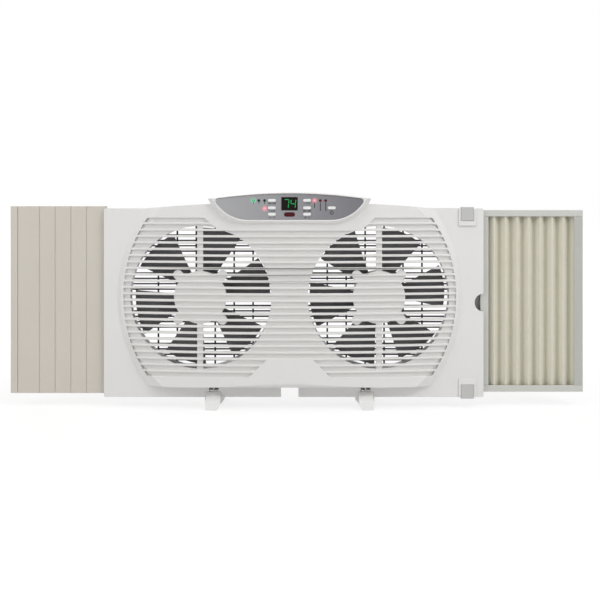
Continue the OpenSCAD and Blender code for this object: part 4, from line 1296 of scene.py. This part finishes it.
@dataclass
class PleatedCurtain:
    """The pleated sheet between the inner strip and the end stile."""

    datum: Datum
    layout: Repeat
    half_sheet: float = 0.5
    folds: int = 15
    steps: int = 16
    rise_steps: int = 32
    travel: float = 120.0
    seam_m: float = 0.00002
    x_span: tuple[float, float] = field(init=False)
    y_span: tuple[float, float] = field(init=False)
    tall: float = field(init=False)
    pitch: float = field(init=False)

    def __post_init__(self) -> None:
        """Take the sheet's size from the frame's own curtain."""
        self.x_span, self.y_span = (self.datum.span("pleated_curtain", axis) for axis in (0, 1))
        low, high = self.datum.span("pleated_curtain", 2)
        self.tall = high - low
        self.pitch = (self.x_span[1] - self.x_span[0]) / self.folds

    def depth(self, t: float, z: float) -> float:
        """Give the sheet's depth at a place in one fold, slightly flatter in mid-height.

        Args:
            t: share of the way across the fold, from its rear crease to its front crease.
            z: share of the way from the sheet's middle to its upper or lower end.

        Returns:
            Y offset from the middle of the curtain.
        """
        # Shares of a straight and of a rounded flank, and of the depth in mid-height and its gain
        flank, arc, middle, gain = 0.45, 0.55, 0.94, 0.06
        swing = (self.y_span[1] - self.y_span[0]) / 2 - self.half_sheet
        straight = 1 - 2 * t
        rounded = math.cos(math.pi * t)
        relax = middle + gain * z * z
        return swing * relax * (flank * straight + arc * rounded)

    def fold(self) -> Mesh:
        """Draw one fold of the sheet, a thin shell open towards its neighbours.

        Returns:
            The fold's mesh, in metres about its own middle.
        """
        wide = self.steps + 1
        points: list[Vector] = []
        for offset in (self.half_sheet, -self.half_sheet):
            for i in range(self.rise_steps + 1):
                z = 2 * i / self.rise_steps - 1
                for t in (k / self.steps for k in range(wide)):
                    place = ((t - 0.5) * self.pitch, self.depth(t, z) + offset, z * self.tall / 2)
                    points.append(Vector(place) * MM)
        layer = wide * (self.rise_steps + 1)
        faces: Faces = []
        for side in (0, layer):
            for i in range(self.rise_steps):
                for k in range(self.steps):
                    a = side + i * wide + k
                    quad = (a, a + 1, a + 1 + wide, a + wide)
                    faces.append(quad if side else tuple(reversed(quad)))
        top = self.rise_steps * wide
        for k in range(self.steps):
            faces.append((k, k + 1, layer + k + 1, layer + k))
            faces.append((layer + top + k, layer + top + k + 1, top + k + 1, top + k))
        mesh = bpy.data.meshes.new("fold")
        mesh.from_pydata([tuple(p) for p in points], [], faces)
        return mesh

    def flat_size(self) -> tuple[float, float]:
        """Measure the sheet laid flat: every fold along its curve, and the height between rails.

        Returns:
            Its width and height, in metres.
        """
        shares = [k / self.steps for k in range(self.steps + 1)]
        line = [Vector((t * self.pitch, self.depth(t, 0.0))) for t in shares]
        along = sum((b - a).length for a, b in zip(line, line[1:]))
        return along * self.folds * MM, self.tall * MM

    def build(self) -> None:
        """Lay the folds side by side, every other one turned over."""
        start, end = self.x_span
        y, z = (self.datum.middle("pleated_curtain", axis) for axis in (1, 2))
        places = [
            (self.datum.at(start + (k + 0.5) * self.pitch, y, z), Vector((math.pi * (k % 2), 0, 0)))
            for k in range(self.folds)
        ]
        seam = {"Merge Distance": self.seam_m}
        finish = Plastic.VINYL.build()
        mesh = self.layout.lay_out("pleated_sheet", self.fold(), finish, seam, places)
        with editing(mesh) as work:
            bmesh.ops.holes_fill(work, edges=[e for e in work.edges if e.is_boundary], sides=0)
            bmesh.ops.recalc_face_normals(work, faces=work.faces)
        smooth_by_angle(mesh, degrees=60)
        piece = new_object("pleated_sheet", mesh)
        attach(piece, "curtain_frame")
        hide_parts("pleated_curtain")
        self.flat_size()
        anchor = self.datum.at(end, 0, 0)
        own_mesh(piece)
        LOG.info("%s: %d faces", piece.name, len(mesh.polygons))


# ---- studio


@dataclass(frozen=True)
class Softbox:
    """A soft square lamp: its place and side in metres, and its power in watts."""

    name: str
    place: tuple[float, float, float]
    side: float
    power: float

    def hang(self, aim: Vector) -> None:
        """Hang the lamp.

        Args:
            aim: the place it faces.
        """
        data = bpy.data.lights.new(self.name, "AREA")
        data.shape, data.size, data.energy = "SQUARE", self.side, self.power
        lamp = new_object(self.name, data)
        lamp.location = self.place
        lamp.rotation_euler = (aim - Vector(self.place)).to_track_quat("-Z", "Y").to_euler()


@dataclass
class Studio:
    """Camera, lamps, floor and backdrop of a plain product photograph."""

    datum: Datum
    aim: tuple[float, float, float] = (17.2, -28.0, -3.3)
    distance: float = 1500.0
    rise: float = 165.6
    focal_px: float = 913.0
    frame_px: float = 600.0
    sensor: float = 36.0
    clip_m: tuple[float, float] = (0.05, 40.0)
    room: float = 0.48
    floor_half_m: float = 9.0
    floor_drop: float = 0.2
    lamps: tuple[Softbox, ...] = (
        Softbox("key", (1.3, -1.4, 1.8), 0.9, 20.5),
        Softbox("fill", (-1.5, -1.3, 1.4), 1.2, 10.0),
        Softbox("top", (0.0, -0.3, 2.0), 0.9, 6.0),
        Softbox("back", (-0.8, 1.8, 1.5), 1.4, 12.0),
    )

    def camera(self) -> None:
        """Place the level camera above the fan's middle, with its lens shifted down to the fan."""
        data = bpy.data.cameras.new("camera")
        data.sensor_width = self.sensor
        data.lens = self.focal_px / self.frame_px * data.sensor_width
        data.clip_start, data.clip_end = self.clip_m
        data.shift_y = -self.rise / self.distance * self.focal_px / self.frame_px
        camera = new_object("camera", data)
        x, y, z = self.aim
        camera.location = self.datum.at(x, y - self.distance, z + self.rise)
        camera.rotation_euler = (math.pi / 2, 0.0, 0.0)
        bpy.context.scene.camera = camera

    def world(self) -> None:
        """Fill the room with plain light, white to the camera."""
        world = bpy.data.worlds.new("studio")
        bpy.context.scene.world = world
        world.use_nodes = True
        tree = world.node_tree
        tree.nodes.clear()
        shaders: dict[int, Socket] = {0: seen_directly(tree)}
        for socket, strength in ((1, self.room), (2, 1.0)):
            light = {"Color": WHITE, "Strength": strength}
            shaders[socket] = add_node(tree, "ShaderNodeBackground", light).outputs[0]
        mixed = add_node(tree, "ShaderNodeMixShader", shaders)
        add_node(tree, "ShaderNodeOutputWorld", {"Surface": mixed.outputs[0]})

    def floor(self) -> None:
        """Lay a plain pale floor just under the feet."""
        h = self.floor_half_m
        mesh = mesh_from("floor", [(-h, -h, 0), (h, -h, 0), (h, h, 0), (-h, h, 0)], [(0, 1, 2, 3)])
        mesh.transform(Matrix.Translation((0, 0, -self.floor_drop * MM)))
        floor = new_object("floor", mesh)
        # Matt white paper, its fibres too fine to see: an even ground under the fan's shadow
        mesh.materials.append(Paper("paper_sweep_white", "F2F2F2", 1.06).build())

    def build(self) -> None:
        """Set the studio up."""
        bpy.context.scene.view_settings.view_transform = "Standard"
        self.camera()
        for lamp in self.lamps:
            lamp.hang(self.datum.at(0, 0, 0))
        self.world()
        self.floor()
        LOG.info("studio ready")


# ---- main


def main() -> None:
    """Build the scene in order."""
    logging.basicConfig(level=logging.INFO, format="%(name)s: %(message)s")
    datum = Datum.from_frame()
    Studio(datum).build()
    dress_frame()
    ring, spots = Repeat(Pattern.RING), Repeat(Pattern.POINTS)
    Impeller(datum, ring, side="left", phase=15.0).build()
    Impeller(datum, ring, side="right", phase=8.0).build()
    for screws in screw_sets(datum, spots):
        screws.build()
    ControlPanel(datum, spots).build()
    PleatedCurtain(datum, spots).build()


if __name__ == "__main__":
    main()
